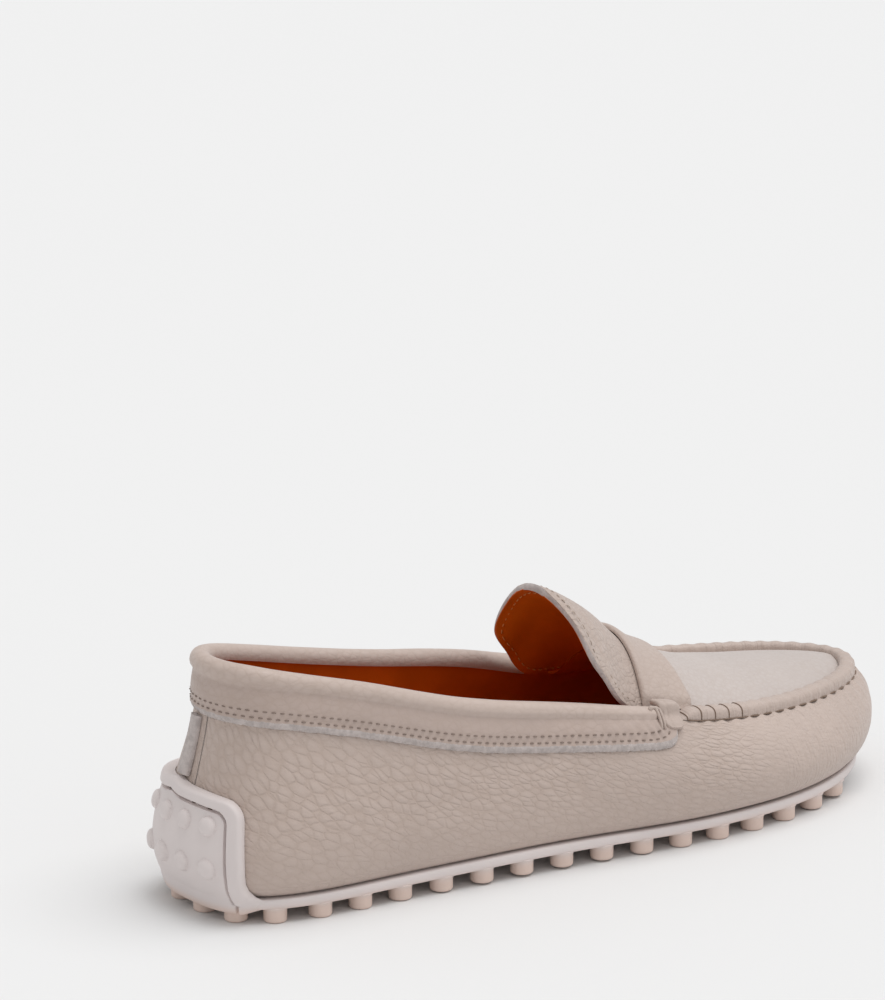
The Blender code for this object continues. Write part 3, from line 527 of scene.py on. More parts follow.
def frame_shift():
    """The move from the last's own origin to the part's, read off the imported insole."""
    ring = under_foot(places_round(21, 15), WALL + FOOT_RADIUS + INSOLE_CLEAR, WALL + CLEARANCE)
    low = np.array(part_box("insole")[0])
    shift = low - ring.min(axis=0)
    return np.array((shift[0], shift[1], 0.0))


SHIFT = frame_shift()


# Mesh building

class Shell:
    """Points and faces of one mesh. skin holds a place on the surface in metres and a mask."""

    def __init__(self):
        self.points = []
        self.skins = []
        self.faces = []
        self.slots = []
        self.total = 0

    def add(self, points, skin=None):
        points = np.asarray(points, float)
        flat = points.reshape(-1, 3)
        if skin is None:
            skin = np.zeros(points.shape)
        self.points.append(flat)
        self.skins.append(np.broadcast_to(skin, points.shape).reshape(-1, 3))
        start = self.total
        self.total += len(flat)
        return np.arange(start, self.total).reshape(points.shape[:-1])

    def weave(self, grid, slot=0, close_columns=False):
        """Faces between the rows and columns of a grid of point numbers."""
        if close_columns:
            grid = np.concatenate([grid, grid[:, :1]], 1)
        quads = np.stack([grid[:-1, :-1], grid[:-1, 1:], grid[1:, 1:], grid[1:, :-1]], -1).reshape(-1, 4)
        self.faces.extend(quads.tolist())
        self.slots.extend([slot] * len(quads))

    def sheet(self, points, skin=None, **options):
        grid = self.add(points, skin)
        self.weave(grid, **options)
        return grid

    def face(self, corners, slot=0):
        self.faces.append([int(corner) for corner in corners])
        self.slots.append(slot)

    def fan(self, ring, slot=0):
        for one, two in zip(ring[1:-1], ring[2:]):
            self.face((ring[0], one, two), slot)

    def cap(self, ring):
        """Faces across a ring, between its left and right halves from its first point on."""
        half = len(ring) // 2
        left = ring[1:half]
        right = ring[:half:-1]
        self.face((ring[0], left[0], right[0]))
        self.weave(np.stack([left, right]))
        self.face((left[-1], ring[half], right[-1]))

    def join(self, one, two, slot=0):
        """Faces between two open rows that may differ in how many points they have."""
        i = 0
        j = 0
        while i < len(one) - 1 or j < len(two) - 1:
            left = (i + 1) / (len(one) - 1) if i < len(one) - 1 else 2.0
            right = (j + 1) / (len(two) - 1) if j < len(two) - 1 else 2.0
            if abs(left - right) < 1e-9:
                self.face((one[i], one[i + 1], two[j + 1], two[j]), slot)
                i += 1
                j += 1
            elif left < right:
                self.face((one[i], one[i + 1], two[j]), slot)
                i += 1
            else:
                self.face((one[i], two[j + 1], two[j]), slot)
                j += 1


def border(grid):
    """Point numbers round the edge of a grid, closed."""
    return np.concatenate([grid[0], grid[1:, -1], grid[-1, -2::-1], grid[-2:0:-1, 0], grid[:1, 0]])


def make_piece(name, shell, materials, nodes, sharp=55):
    """Turns a shell into an object that rides on the frame and stands for CAD nodes."""
    old = bpy.data.objects.get(name)
    if old:
        bpy.data.objects.remove(old, do_unlink=True)
    points = np.concatenate(shell.points) + SHIFT
    mesh = bpy.data.meshes.new(name)
    mesh.from_pydata(points.tolist(), [], shell.faces)
    mesh.polygons.foreach_set("material_index", np.array(shell.slots, np.int32))
    skin = mesh.attributes.new("skin", "FLOAT_VECTOR", "POINT")
    skin.data.foreach_set("vector", np.concatenate(shell.skins).astype(np.float32).ravel())
    shape = bmesh.new()
    shape.from_mesh(mesh)
    bmesh.ops.recalc_face_normals(shape, faces=shape.faces)
    shape.to_mesh(mesh)
    shape.free()
    mesh.shade_smooth()
    mesh.set_sharp_from_angle(angle=math.radians(sharp))
    for material in materials:
        mesh.materials.append(material)
    piece = bpy.data.objects.new(name, mesh)
    bpy.context.scene.collection.objects.link(piece)
    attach(piece, ROOT)
    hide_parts(*nodes)
    return piece


def slab(shell, outer, inner, skin=None, slots=(0, 0, 0), bulge=0.25, rim_rows=5):
    """A closed slab between two grids of points, with a rounded rim."""
    top = shell.sheet(outer, skin, slot=slots[0])
    low = shell.sheet(inner, skin, slot=slots[1])
    rim_top = border(top)[:-1]
    rim_low = border(low)[:-1]
    top_points = np.asarray(outer).reshape(-1, 3)[rim_top - top[0, 0]]
    low_points = np.asarray(inner).reshape(-1, 3)[rim_low - low[0, 0]]
    run = np.roll(top_points, -1, 0) - np.roll(top_points, 1, 0)
    away = unit(np.cross(run, top_points - low_points))
    middle = (top_points.mean(0) + low_points.mean(0)) / 2
    away *= np.sign(np.sum(away * (top_points - middle), -1).mean() or 1.0)
    thick = np.linalg.norm(top_points - low_points, axis=-1)[:, None]
    shares = np.linspace(0, 1, rim_rows + 2)[1:-1]
    rows = [rim_top]
    for share in shares:
        out = bulge * math.sin(math.pi * share)
        rows.append(shell.add(top_points * (1 - share) + low_points * share + away * thick * out))
    rows.append(rim_low)
    shell.weave(np.array(rows), slot=slots[2], close_columns=True)
    return top, low


def tube(shell, path, radius, sides=6, slot=0):
    """A thread along a row of points; its ends are drawn in."""
    path = np.asarray(path, float)
    run = unit(np.gradient(path, axis=0))
    side = unit(np.cross(run, np.array((0.31, 0.23, 0.92))))
    other = np.cross(run, side)
    turns = np.linspace(0, 2 * np.pi, sides, endpoint=False)
    size = np.full(len(path), radius)
    size[[0, -1]] *= 0.35
    ring = side[:, None] * np.cos(turns)[:, None] + other[:, None] * np.sin(turns)[:, None]
    grid = shell.sheet(path[:, None] + ring * size[:, None, None], slot=slot, close_columns=True)
    shell.fan(grid[0], slot)
    shell.fan(grid[-1], slot)


def paced(path, normals, pitch, dash, start=0.0):
    """Start and end of each stitch along a path, as point pairs with normals."""
    step = np.linalg.norm(np.diff(path, axis=0), axis=-1)
    run = np.concatenate([[0.0], np.cumsum(step)])
    count = int((run[-1] - start) / pitch)
    found = []
    for i in range(count):
        at = start + i * pitch
        ends = []
        for spot in (at, at + dash):
            point = np.array([np.interp(spot, run, path[:, k]) for k in range(3)])
            normal = unit(np.array([np.interp(spot, run, normals[:, k]) for k in range(3)]))
            ends.append((point, normal))
        found.append(ends)
    return found


def stitch_row(shell, path, normals, pitch, dash, radius, slot=0, start=0.0):
    """Short threads that come up out of the leather and go down again."""
    for (one, up_one), (two, up_two) in paced(path, normals, pitch, dash, start):
        shares = np.linspace(0, 1, 6)[:, None]
        lift = np.sin(np.pi * shares) * radius * 1.3 - radius * 0.7
        stitch = one * (1 - shares) + two * shares + (up_one + up_two) / 2 * lift
        tube(shell, stitch, radius, THREAD_SIDES, slot)


def soft_waves(u, v, seed, size):
    """A soft unevenness between -1 and 1 from a few seeded waves; u and v in metres."""
    random = np.random.default_rng(seed)
    total = np.zeros(np.broadcast(u, v).shape)
    for _ in range(WAVES):
        turn = random.uniform(0, np.pi)
        pitch = size * random.uniform(0.6, 1.6)
        phase = random.uniform(0, 2 * np.pi)
        total = total + np.sin(2 * np.pi * (u * np.cos(turn) + v * np.sin(turn)) / pitch + phase)
    return total / WAVES


def trough(u, v, start, end, deep, wide):
    """A soft trough along a line, fading at its ends."""
    start = np.array(start)
    run = np.array(end) - start
    length = np.hypot(*run)
    along = ((u - start[0]) * run[0] + (v - start[1]) * run[1]) / length ** 2
    nearest = np.clip(along, 0, 1)
    off = np.hypot(u - start[0] - run[0] * nearest, v - start[1] - run[1] * nearest)
    fade = np.sin(np.pi * np.clip(along, 0.02, 0.98)) ** 0.7
    shape = np.exp(-(off / wide) ** 2) - 0.35 * np.exp(-((off - 1.7 * wide) / wide) ** 2)
    return -deep * fade * shape


# Shader building

class Link:
    """A socket whose arithmetic adds Math nodes."""

    def __init__(self, shader, socket):
        self.shader = shader
        self.socket = socket

    def math(self, operation, *values):
        settings = {"operation": operation}
        return self.shader.node("ShaderNodeMath", settings, dict(enumerate(values)))

    def __add__(self, other):
        return self.math("ADD", self, other)

    def __radd__(self, other):
        return self.math("ADD", other, self)

    def __sub__(self, other):
        return self.math("SUBTRACT", self, other)

    def __rsub__(self, other):
        return self.math("SUBTRACT", other, self)

    def __mul__(self, other):
        return self.math("MULTIPLY", self, other)

    def __rmul__(self, other):
        return self.math("MULTIPLY", other, self)


class Shader:
    """Nodes of one material, each added with its settings and what feeds its sockets."""

    def __init__(self, name):
        old = bpy.data.materials.get(name)
        if old:
            bpy.data.materials.remove(old)
        self.material = bpy.data.materials.new(name)
        self.material.use_nodes = True
        self.tree = self.material.node_tree
        self.tree.nodes.clear()

    def node(self, kind, settings=None, feeds=None, output=0):
        made = self.tree.nodes.new(kind)
        for key, value in (settings or {}).items():
            setattr(made, key, value)
        for key, value in (feeds or {}).items():
            socket = made.inputs[key]
            if isinstance(value, Link):
                self.tree.links.new(value.socket, socket)
            else:
                socket.default_value = value
        return Link(self, made.outputs[output]) if made.outputs else None

    def ramp(self, value, low, high, to_low=0.0, to_high=1.0):
        """A value spread smoothly from one range to another."""
        feeds = {0: value, 1: low, 2: high, 3: to_low, 4: to_high}
        return self.node("ShaderNodeMapRange", {"interpolation_type": "SMOOTHSTEP"}, feeds)

    def mix(self, share, one, two):
        return self.node("ShaderNodeMix", {"data_type": "RGBA"}, {0: share, 6: one, 7: two}, 2)

    def noise(self, where, scale, detail=3.0, rough=0.5, output=0):
        feeds = {"Vector": where, "Scale": scale, "Detail": detail, "Roughness": rough}
        return self.node("ShaderNodeTexNoise", None, feeds, output)

    def vector(self, operation, *values):
        return self.node("ShaderNodeVectorMath", {"operation": operation}, dict(enumerate(values)))

    def bump(self, height, distance, strength=1.0, normal=None):
        feeds = {"Height": height, "Distance": distance, "Strength": strength}
        if normal:
            feeds["Normal"] = normal
        return self.node("ShaderNodeBump", None, feeds)

    def where(self):
        return self.node("ShaderNodeTexCoord", None, None, "Object")

    def skin(self):
        """Place on the surface along u and v in metres, and the mask."""
        place = self.node("ShaderNodeAttribute", {"attribute_name": "skin"}, None, "Vector")
        split = self.tree.nodes.new("ShaderNodeSeparateXYZ")
        self.tree.links.new(place.socket, split.inputs[0])
        return place, [Link(self, socket) for socket in split.outputs]

    def principled(self, feeds):
        shader = self.node("ShaderNodeBsdfPrincipled", None, feeds)
        self.node("ShaderNodeOutputMaterial", None, {"Surface": shader})
        return self.material


def solid(colour, light=1.0):
    return (colour[0] * light, colour[1] * light, colour[2] * light, 1.0)


def grain(shader, where, size, stretch):
    """Pebbled hide: domed cells with soft creases between, size across in metres."""
    wander = shader.noise(where, 0.45 / size, 1.5, 0.45, "Color")
    moved = shader.vector("MULTIPLY_ADD", wander, (0.7 * size,) * 3, where)
    sized = shader.vector("MULTIPLY", moved, (1 / size, 1 / size, stretch / size))
    cells = {"Vector": sized, "Scale": 1.0, "Randomness": 1.0}
    edge = shader.node("ShaderNodeTexVoronoi", {"feature": "DISTANCE_TO_EDGE"}, cells)
    middle = shader.node("ShaderNodeTexVoronoi", {"feature": "SMOOTH_F1"}, dict(cells, Smoothness=0.35))
    return shader.ramp(middle, 0.0, 0.80, 0.62, 0.0) + shader.ramp(edge, 0.0, 0.16, 0.0, 0.38)


def leather(value, colours):
    """One of the soft pebbled leathers of the table."""
    shader = Shader(value["name"])
    where = shader.where()
    place, (_, v, mask) = shader.skin()
    pebble = value["pebble"] * MM
    stretch = value["stretch"]
    if value["flow"]:
        feeds = {"Vector": place, "Angle": value["flow"]}
        turned = shader.node("ShaderNodeVectorRotate", {"rotation_type": "Z_AXIS"}, feeds)
        large = grain(shader, shader.vector("MULTIPLY", turned, (1.0, stretch, 0.0)), pebble, 1.0)
    else:
        large = grain(shader, where, pebble, stretch)
    small = grain(shader, where, pebble * 0.36, stretch * 0.8)
    patch = shader.noise(where, 24.0, 2.0)
    calm = shader.ramp(patch, 0.32, 0.60, 0.50, 1.0)
    pores = shader.noise(where, 2600.0, 2.0)
    height = large * calm * (1.0 - mask * 0.80) + small * (0.10 + 0.25 * value["fine"]) + pores * 0.08
    if value["wrinkles"]:
        stripes = shader.vector("MULTIPLY", place, (760.0, 130.0, 0.0))
        folds = shader.noise(stripes, 1.0, 2.0, 0.5)
        folds = shader.ramp(folds, 0.34, 0.62) * shader.ramp(mask, 0.72, 0.92)
        height = height + folds * value["wrinkles"]
    broad = shader.noise(where, 70.0, 2.0)
    normal = shader.bump(broad, 0.9 * MM, 0.4)
    normal = shader.bump(height, value["depth"] * MM, 1.0, normal)
    tone = shader.noise(where, 22.0, 3.0)
    paint = getattr(colours, value["paint"])
    base = shader.mix(shader.ramp(tone, 0.3, 0.7), solid(paint, 0.96), solid(paint, 1.04))
    # Painted light: the band's face keeps its darker colour as painted shade, and the roll's top turns
    # lighter as a painted highlight.
    if value["name"] == "leather_band":
        base = shader.mix(shader.ramp(v, *ROLL_PAINTED_LIGHT), base, solid(colours.leather, 1.04))
    # Painted shade: the creases of the grain are darkened towards the crease colour.
    base = shader.mix(0.34 * (1.0 - large) * calm * (1.0 - mask * 0.7), base, solid(colours.leather_crease_painted_shade))
    gloss = shader.ramp(small, 0.0, 1.0, 0.60, 0.48)
    return shader.principled({"Base Color": base, "Roughness": gloss, "Normal": normal,
                              "Specular IOR Level": 0.45, "Sheen Weight": 0.22, "Sheen Roughness": 0.45})


def raw_edge(name, colours):
    """The fibrous cut edge of the hide."""
    shader = Shader(name)
    where = shader.where()
    fibre = shader.noise(where, 1500.0, 4.0, 0.7)
    lumps = shader.noise(where, 420.0, 3.0, 0.6)
    base = shader.mix(shader.ramp(lumps, 0.3, 0.7), solid(colours.edge, 0.86), solid(colours.edge, 1.12))
    normal = shader.bump(fibre * 0.6 + lumps, 0.5 * MM, 0.9)
    return shader.principled({"Base Color": base, "Roughness": 0.92, "Normal": normal,
                              "Specular IOR Level": 0.15, "Sheen Weight": 0.25})


def lining(name, colours):
    """Smooth tan lining leather with a faint sheen."""
    shader = Shader(name)
    where = shader.where()
    tone = shader.noise(where, 40.0, 4.0)
    pores = shader.noise(where, 1900.0, 2.0)
    base = shader.mix(shader.ramp(tone, 0.3, 0.75), solid(colours.lining, 0.85), solid(colours.lining, 1.12))
    normal = shader.bump(pores, 0.08 * MM, 0.6, shader.bump(shader.noise(where, 120.0, 3.0), 0.5 * MM, 0.3))
    return shader.principled({"Base Color": base, "Roughness": shader.ramp(tone, 0.2, 0.8, 0.42, 0.58),
                              "Normal": normal, "Specular IOR Level": 0.18})


def rubber(name, colours):
    """Matt moulded rubber with a very fine grain, and low down a painted tint of shade and floor-bounce light
    on the studs.
    """
    shader = Shader(name)
    where = shader.where()
    speckle = shader.noise(where, 1400.0, 2.0)
    tone = shader.noise(where, 35.0, 3.0)
    height = shader.node("ShaderNodeSeparateXYZ", None, {0: where}, 2)
    # Painted shade and bounce light: low down, on the studs, the rubber turns towards the studs' tint.
    low = 1.0 - shader.ramp(height, 0.003, 0.0075)
    base = shader.mix(shader.ramp(tone, 0.3, 0.7), solid(colours.rubber, 0.97), solid(colours.rubber, 1.03))
    base = shader.mix(0.8 * low, base, solid(colours.rubber_painted_bounce_shade))
    normal = shader.bump(speckle, 0.05 * MM, 0.5)
    return shader.principled({"Base Color": base, "Roughness": shader.ramp(tone, 0.2, 0.8, 0.46, 0.56),
                              "Normal": normal, "Specular IOR Level": 0.4})


def thread(name, colour):
    """Twisted waxed thread."""
    shader = Shader(name)
    where = shader.where()
    twist = shader.noise(where, 2600.0, 2.0, 0.6)
    base = shader.mix(shader.ramp(twist, 0.35, 0.65), solid(colour, 0.8), solid(colour, 1.15))
    normal = shader.bump(twist, 0.12 * MM, 0.8)
    return shader.principled({"Base Color": base, "Roughness": 0.7, "Normal": normal})


def floor_finish(name, colours):
    shader = Shader(name)
    tone = shader.noise(shader.where(), 3.0, 2.0)
    base = shader.mix(tone, solid(colours.floor, 0.997), solid(colours.floor, 1.003))
    return shader.principled({"Base Color": base, "Roughness": 0.9, "Specular IOR Level": 0.1})


def finishes(context):
    """All materials of the shoe, made once and then found by name."""
    colours = context.scene.moccasin_colours
    found = {}
    for value in named(LEATHER_COLUMNS, LEATHERS):
        name = value["name"]
        found[name] = bpy.data.materials.get(name) or leather(value, colours)
    for name, make in (("edge_cut", raw_edge), ("lining_tan", lining), ("rubber_pale", rubber)):
        found[name] = bpy.data.materials.get(name) or make(name, colours)
    for name in THREADS:
        found[name] = bpy.data.materials.get(name) or thread(name, getattr(colours, name))
    return found


# Properties

class MoccasinSizes(bpy.types.PropertyGroup):
    """Sizes of the dressing that a user may change."""

    stitch_pitch: bpy.props.FloatProperty(
        name="Stitch pitch", description="Distance between stitches of the collar band", default=2.9 * MM,
        subtype="DISTANCE", unit="LENGTH")
    thread_radius: bpy.props.FloatProperty(
        name="Thread radius", description="Half the thickness of the sewing thread", default=0.26 * MM,
        subtype="DISTANCE", unit="LENGTH")
    seam_pitch: bpy.props.FloatProperty(
        name="Seam pitch", description="Distance between hand stitches of the apron seam", default=6.3 * MM,
        subtype="DISTANCE", unit="LENGTH")
    pucker: bpy.props.FloatProperty(
        name="Pucker", description="How far the leather gathers at each hand stitch", default=0.40 * MM,
        subtype="DISTANCE", unit="LENGTH")
    fold_depth: bpy.props.FloatProperty(
        name="Fold depth", description="Share of the depth of the soft folds of the leather", default=1.0,
        subtype="FACTOR", min=0.0, max=2.0)


class MoccasinColours(bpy.types.PropertyGroup):
    """Colours of the dressing that a user may change."""

    leather: bpy.props.FloatVectorProperty(
        name="Leather", description="Main colour of the leather", default=(0.53, 0.43, 0.38), subtype="COLOR")
    # Painted shade that darkens the creases of the grain.
    leather_crease_painted_shade: bpy.props.FloatVectorProperty(
        name="Leather creases", description="Colour in the creases of the grain", default=(0.38, 0.28, 0.22),
        subtype="COLOR")
    edge: bpy.props.FloatVectorProperty(
        name="Raw edge", description="Colour of the cut edges", default=(0.52, 0.46, 0.44), subtype="COLOR")
    lining: bpy.props.FloatVectorProperty(
        name="Lining", description="Colour of the lining", default=(0.58, 0.105, 0.003), subtype="COLOR")
    rubber: bpy.props.FloatVectorProperty(
        name="Rubber", description="Colour of the rubber", default=(0.725, 0.655, 0.64), subtype="COLOR")
    # Painted light: the studs' tint stands for the shade under the sole and the light bounced up from the
    # floor.
    rubber_painted_bounce_shade: bpy.props.FloatVectorProperty(
        name="Rubber low down", description="Colour of the studs", default=(0.76, 0.58, 0.49),
        subtype="COLOR")
    thread_grey: bpy.props.FloatVectorProperty(
        name="Grey thread", description="Thread of the collar band", default=(0.25, 0.19, 0.16),
        subtype="COLOR")
    thread_pale: bpy.props.FloatVectorProperty(
        name="Pale thread", description="Thread of the tongue's outer face", default=(0.48, 0.39, 0.33),
        subtype="COLOR")
    thread_brown: bpy.props.FloatVectorProperty(
        name="Brown thread", description="Thread in the heel tab's groove", default=(0.11, 0.055, 0.03),
        subtype="COLOR")
    thread_orange: bpy.props.FloatVectorProperty(
        name="Orange thread", description="Thread of the tongue's lining", default=(0.62, 0.22, 0.06),
        subtype="COLOR")
    thread_seam: bpy.props.FloatVectorProperty(
        name="Seam thread", description="Thread of the apron seam", default=(0.22, 0.15, 0.11),
        subtype="COLOR")
    # The band's face colour is darker than the leather as painted shade; the roll above it is painted
    # lighter.
    leather_band: bpy.props.FloatVectorProperty(
        name="Band leather", description="Colour of the collar band", default=(0.485, 0.385, 0.34),
        subtype="COLOR")
    # Painted sheen: the apron's colour is made lighter and greyer than the leather, for the shine of light on
    # its top.
    leather_top: bpy.props.FloatVectorProperty(
        name="Apron leather", description="Colour of the apron", default=(0.565, 0.50, 0.47),
        subtype="COLOR")
    floor: bpy.props.FloatVectorProperty(
        name="Floor", description="Colour of the floor", default=(0.80, 0.80, 0.80), subtype="COLOR")


# Upper

def wall_lift(place, share, sizes):
    """How far the leather of the wall stands off its plain form: folds, waves and gathers."""
    height = np.linalg.norm(wall_base(place, 1.0) - wall_base(place, 0.0), axis=-1)
    u = place
    v = share * height
    lift = 0.16 * MM * soft_waves(u, v * 1.6, 11, 0.045) + 0.10 * MM * soft_waves(u, v, 12, 0.018)
    for value in named(FOLD_COLUMNS, WALL_FOLDS):
        middle = value["around"] * ROUND
        start = (middle - value["run"] * MM / 2, value["height"] * FOLD_HEIGHT - value["climb"] * MM / 2)
        end = (middle + value["run"] * MM / 2, value["height"] * FOLD_HEIGHT + value["climb"] * MM / 2)
        lift = lift + trough(u, v, start, end, value["deep"] * MM * sizes.fold_depth, value["wide"] * MM)
    lift = lift * smooth_step(share / 0.10)
    below = height - v
    phase = (place - OUTER_STRAP) / sizes.seam_pitch
    gather = sizes.pucker * np.cos(2 * np.pi * phase) * np.exp(-below / (4.5 * MM)) * ridge_share(place)
    notch = -0.5 * MM * np.exp(-(below / (1.2 * MM)) ** 2) * ridge_share(place)
    return lift + gather + notch


def ridge_rows(place, sizes, count=11):
    """The raised seam from its outer foot over its crest to its inner foot."""
    base = wall_base(place, 1.0)
    end = seam_inner(place)
    phase = (place - OUTER_STRAP) / sizes.seam_pitch
    pinch = 0.5 + 0.5 * np.cos(2 * np.pi * phase)
    share = ridge_share(place)
    rows = []
    for turn in np.linspace(0.0, math.pi, count):
        wide = 0.5 - 0.62 * math.copysign(abs(math.cos(turn)) ** 0.75, math.cos(turn))
        tall = abs(math.sin(turn)) ** 0.62
        height = RIDGE_HEIGHT * share * tall * (0.90 + 0.10 * pinch)
        spread = wide - (0.06 * pinch * math.cos(turn)) * tall
        spot = base + (end - base) * spread[:, None] + UP * height[:, None]
        sink = 0.5 * MM * share * math.exp(-(min(turn, math.pi - turn) / 0.3) ** 2)
        rows.append(spot - UP * sink[:, None])
    return np.array(rows)


def make_upper(context):
    """Wall, raised seam and apron with the lining inside, as one closed form."""
    sizes = context.scene.moccasin_sizes
    finish = finishes(context)
    shell = Shell()
    places = places_round(REAR, FRONT)
    total = len(places)
    shares = np.linspace(0.07, 1.0, WALL_ROWS) ** 0.95
    grid_place, grid_share = np.meshgrid(places, shares)
    lift = wall_lift(grid_place, grid_share, sizes)
    outer = wall(grid_place, grid_share, lift)
    foot = under_foot(places, 0.0, 0.0)
    soft = []
    first = wall(places, 0.07)
    start = under_foot(places, FOOT_RADIUS, 0.0)
    for part in (0.0, 0.3, 0.6, 0.85):
        soft.append(start * (1 - part) ** 2 + foot * 2 * part * (1 - part) + first * part * part)
    low = under_foot(places, MARGIN_UNDER_FOOT, 0.0)
    rows = np.concatenate([low[None], np.array(soft), outer])
    skin_share = np.concatenate([np.zeros(len(soft) + 1), shares])
    ahead = np.minimum(places - OUTER_STRAP, INNER_STRAP - places)
    toe = smooth_step((ahead - 5 * MM) / (40 * MM))[None] * 0.92
    low_calm = 0.68 * (1 - smooth_step(skin_share / 0.55))[:, None]
    mask = np.maximum(toe, low_calm)
    skin = np.stack(np.broadcast_arrays(places[None], skin_share[:, None] * SKIN_HEIGHT, mask), -1)
    wall_grid = shell.sheet(rows, skin, slot=0, close_columns=True)

    inner_shares = np.linspace(0.11, 1.0, 16)
    place_in, share_in = np.meshgrid(places, inner_shares)
    inner_rows = np.concatenate([
        under_foot(places, MARGIN_UNDER_FOOT, WALL)[None],
        under_foot(places, FOOT_RADIUS + WALL, WALL)[None],
        wall(place_in, share_in, -WALL),
    ])
    lining_grid = shell.sheet(inner_rows, slot=1, close_columns=True)
    shell.weave(np.stack([wall_grid[0], lining_grid[0]]), slot=1, close_columns=True)

    front = np.arange(REAR, REAR + 2 * FRONT + 1)
    seam_places = places[front]
    crest = ridge_rows(seam_places, sizes)
    seam_skin = np.stack(np.broadcast_arrays(seam_places, 0.0, 1.0), -1)
    ridge_grid = np.concatenate([
        wall_grid[-1][front][None],
        shell.add(crest, np.broadcast_to(seam_skin, crest.shape)),
        shell.add(seam_inner(seam_places)[None] - UP * 0.25 * MM, seam_skin[None]),
    ])
    shell.weave(ridge_grid, slot=0)

    parts = np.arange(FRONT) / FRONT
    across = -1 + 2 * np.arange(1, APRON_ACROSS) / APRON_ACROSS
    across_grid, part_grid = np.meshgrid(across, parts)
    top = apron(across_grid, part_grid)
    rise = face_normal(apron, across_grid, np.maximum(part_grid, 0.02), 0.01)
    wave = 0.12 * MM * soft_waves(top[..., 0], top[..., 1], 21, 0.03)
    top_rows = shell.add(lifted(top, rise, wave), level(top[..., 1], top[..., 0], 0.6))
    edge = ridge_grid[-1]
    outer_edge = edge[:FRONT]
    inner_edge = edge[:FRONT:-1]
    apron_grid = np.concatenate([outer_edge[:, None], top_rows, inner_edge[:, None]], 1)
    shell.weave(apron_grid, slot=2)
    tip = edge[FRONT]
    for k in range(APRON_ACROSS):
        shell.face((apron_grid[-1, k], apron_grid[-1, k + 1], tip), 2)

    base_in = wall_base(seam_places, 1.0)
    end_in = seam_inner(seam_places)
    inward = seam_inward(seam_places) * WALL * 0.7
    under = []
    for share in (0.3, 0.7):
        under.append(base_in * (1 - share) + end_in * share - UP * WALL + inward * (1 - share))
    under_grid = np.concatenate([
        lining_grid[-1][front][None], shell.add(np.array(under)), shell.add((end_in - UP * WALL)[None])])
    shell.weave(under_grid, slot=1)
    low_rows = shell.add(lifted(top, rise, -WALL))
    edge_in = under_grid[-1]
    apron_in = np.concatenate([edge_in[:FRONT][:, None], low_rows, edge_in[:FRONT:-1][:, None]], 1)
    shell.weave(apron_in, slot=1)
    for k in range(APRON_ACROSS):
        shell.face((apron_in[-1, k], apron_in[-1, k + 1], edge_in[FRONT]), 1)

    rear = np.concatenate([np.arange(REAR + 2 * FRONT, total), np.arange(0, REAR + 1)])
    shell.join(wall_grid[-1][rear], lining_grid[-1][rear], 1)
    throat_out = np.concatenate([ridge_grid[:, 0], apron_grid[0][1:-1], ridge_grid[::-1, -1]])
    throat_in = np.concatenate([under_grid[:, 0], apron_in[0][1:-1], under_grid[::-1, -1]])
    shell.join(throat_out, throat_in, 1)
    materials = [finish["leather_wall"], finish["lining_tan"], finish["leather_apron"]]
    make_piece("upper_leather", shell, materials, ["upper"], 70)


def make_seam_threads(context):
    """The hand-sewn threads of the apron seam: boxes over the ridge near the strap, then foot stitches."""
    sizes = context.scene.moccasin_sizes
    finish = finishes(context)
    shell = Shell()
    for start, side in ((OUTER_STRAP, 1), (INNER_STRAP, -1)):
        for i in range(SEAM_LOOPS):
            place = np.array([start + side * (i + 0.6) * sizes.seam_pitch])
            path = ridge_rows(place, sizes, 15)[:, 0]
            out = unit(path - (path[0] + path[-1]) / 2)
            tube(shell, path + out * 0.10 * MM, 0.21 * MM)
        run = start + side * np.linspace(0.6, SEAM_LOOPS, 80) * sizes.seam_pitch
        rows = ridge_rows(run, sizes)
        for row, off in ((rows[0], 0.35), (rows[-1], -0.35)):
            tube(shell, row + outward(run) * off * MM + UP * 0.15 * MM, 0.20 * MM)
    past = SEAM_LOOPS * sizes.seam_pitch
    places = np.linspace(OUTER_STRAP + past, INNER_STRAP - past, 900)
    rows = ridge_rows(places, sizes)
    for path, way in ((rows[0], 1), (rows[-1], -1)):
        normals = unit(UP * 0.6 + outward(places) * 0.8 * way)
        path = path + outward(places) * 0.2 * MM * way + UP * 0.1 * MM
        stitch_row(shell, path, normals, sizes.seam_pitch, 4.6 * MM, 0.29 * MM, 0, 1.4 * MM)
    make_piece("seam_threads", shell, [finish["thread_seam"]], ["upper"])


# Rubber sole

def sheet_edge(place, lift):
    row = LAST(place)
    return level(row[..., 0], row[..., 1]) + outward(place) * np.broadcast_to(lift, place.shape)[..., None]


def sole_sheet(shell):
    places = places_round(REAR, FRONT)
    rings = []
    turns = np.linspace(math.pi / 2, -math.pi / 2, 9)
    for inset in (8 * MM, 2.2 * MM):
        spot = sheet_edge(places, SHEET_LIP - inset)
        rings.append(level(spot[:, 0], spot[:, 1], sheet_bottom(spot[:, 1]) + SHEET))
    for turn in turns:
        out = SHEET_ROUND * 1.5 * (abs(math.cos(turn)) ** 0.7 - 1)
        part = 0.5 + 0.5 * math.copysign(abs(math.sin(turn)) ** 0.6, math.sin(turn))
        spot = sheet_edge(places, SHEET_LIP + out)
        rings.append(level(spot[:, 0], spot[:, 1], sheet_bottom(spot[:, 1]) + SHEET * part))
    for inset in (2.2 * MM, 8 * MM):
        spot = sheet_edge(places, SHEET_LIP - inset)
        rings.append(level(spot[:, 0], spot[:, 1], sheet_bottom(spot[:, 1])))
    grid = shell.sheet(np.array(rings), close_columns=True)
    shell.cap(grid[0])
    shell.cap(grid[-1])


def inside(spot, outline):
    crossings = 0
    for one, two in zip(outline, np.roll(outline, -1, 0)):
        if (one[1] > spot[1]) != (two[1] > spot[1]):
            side = one[0] + (spot[1] - one[1]) / (two[1] - one[1]) * (two[0] - one[0])
            crossings += side > spot[0]
    return crossings % 2 == 1


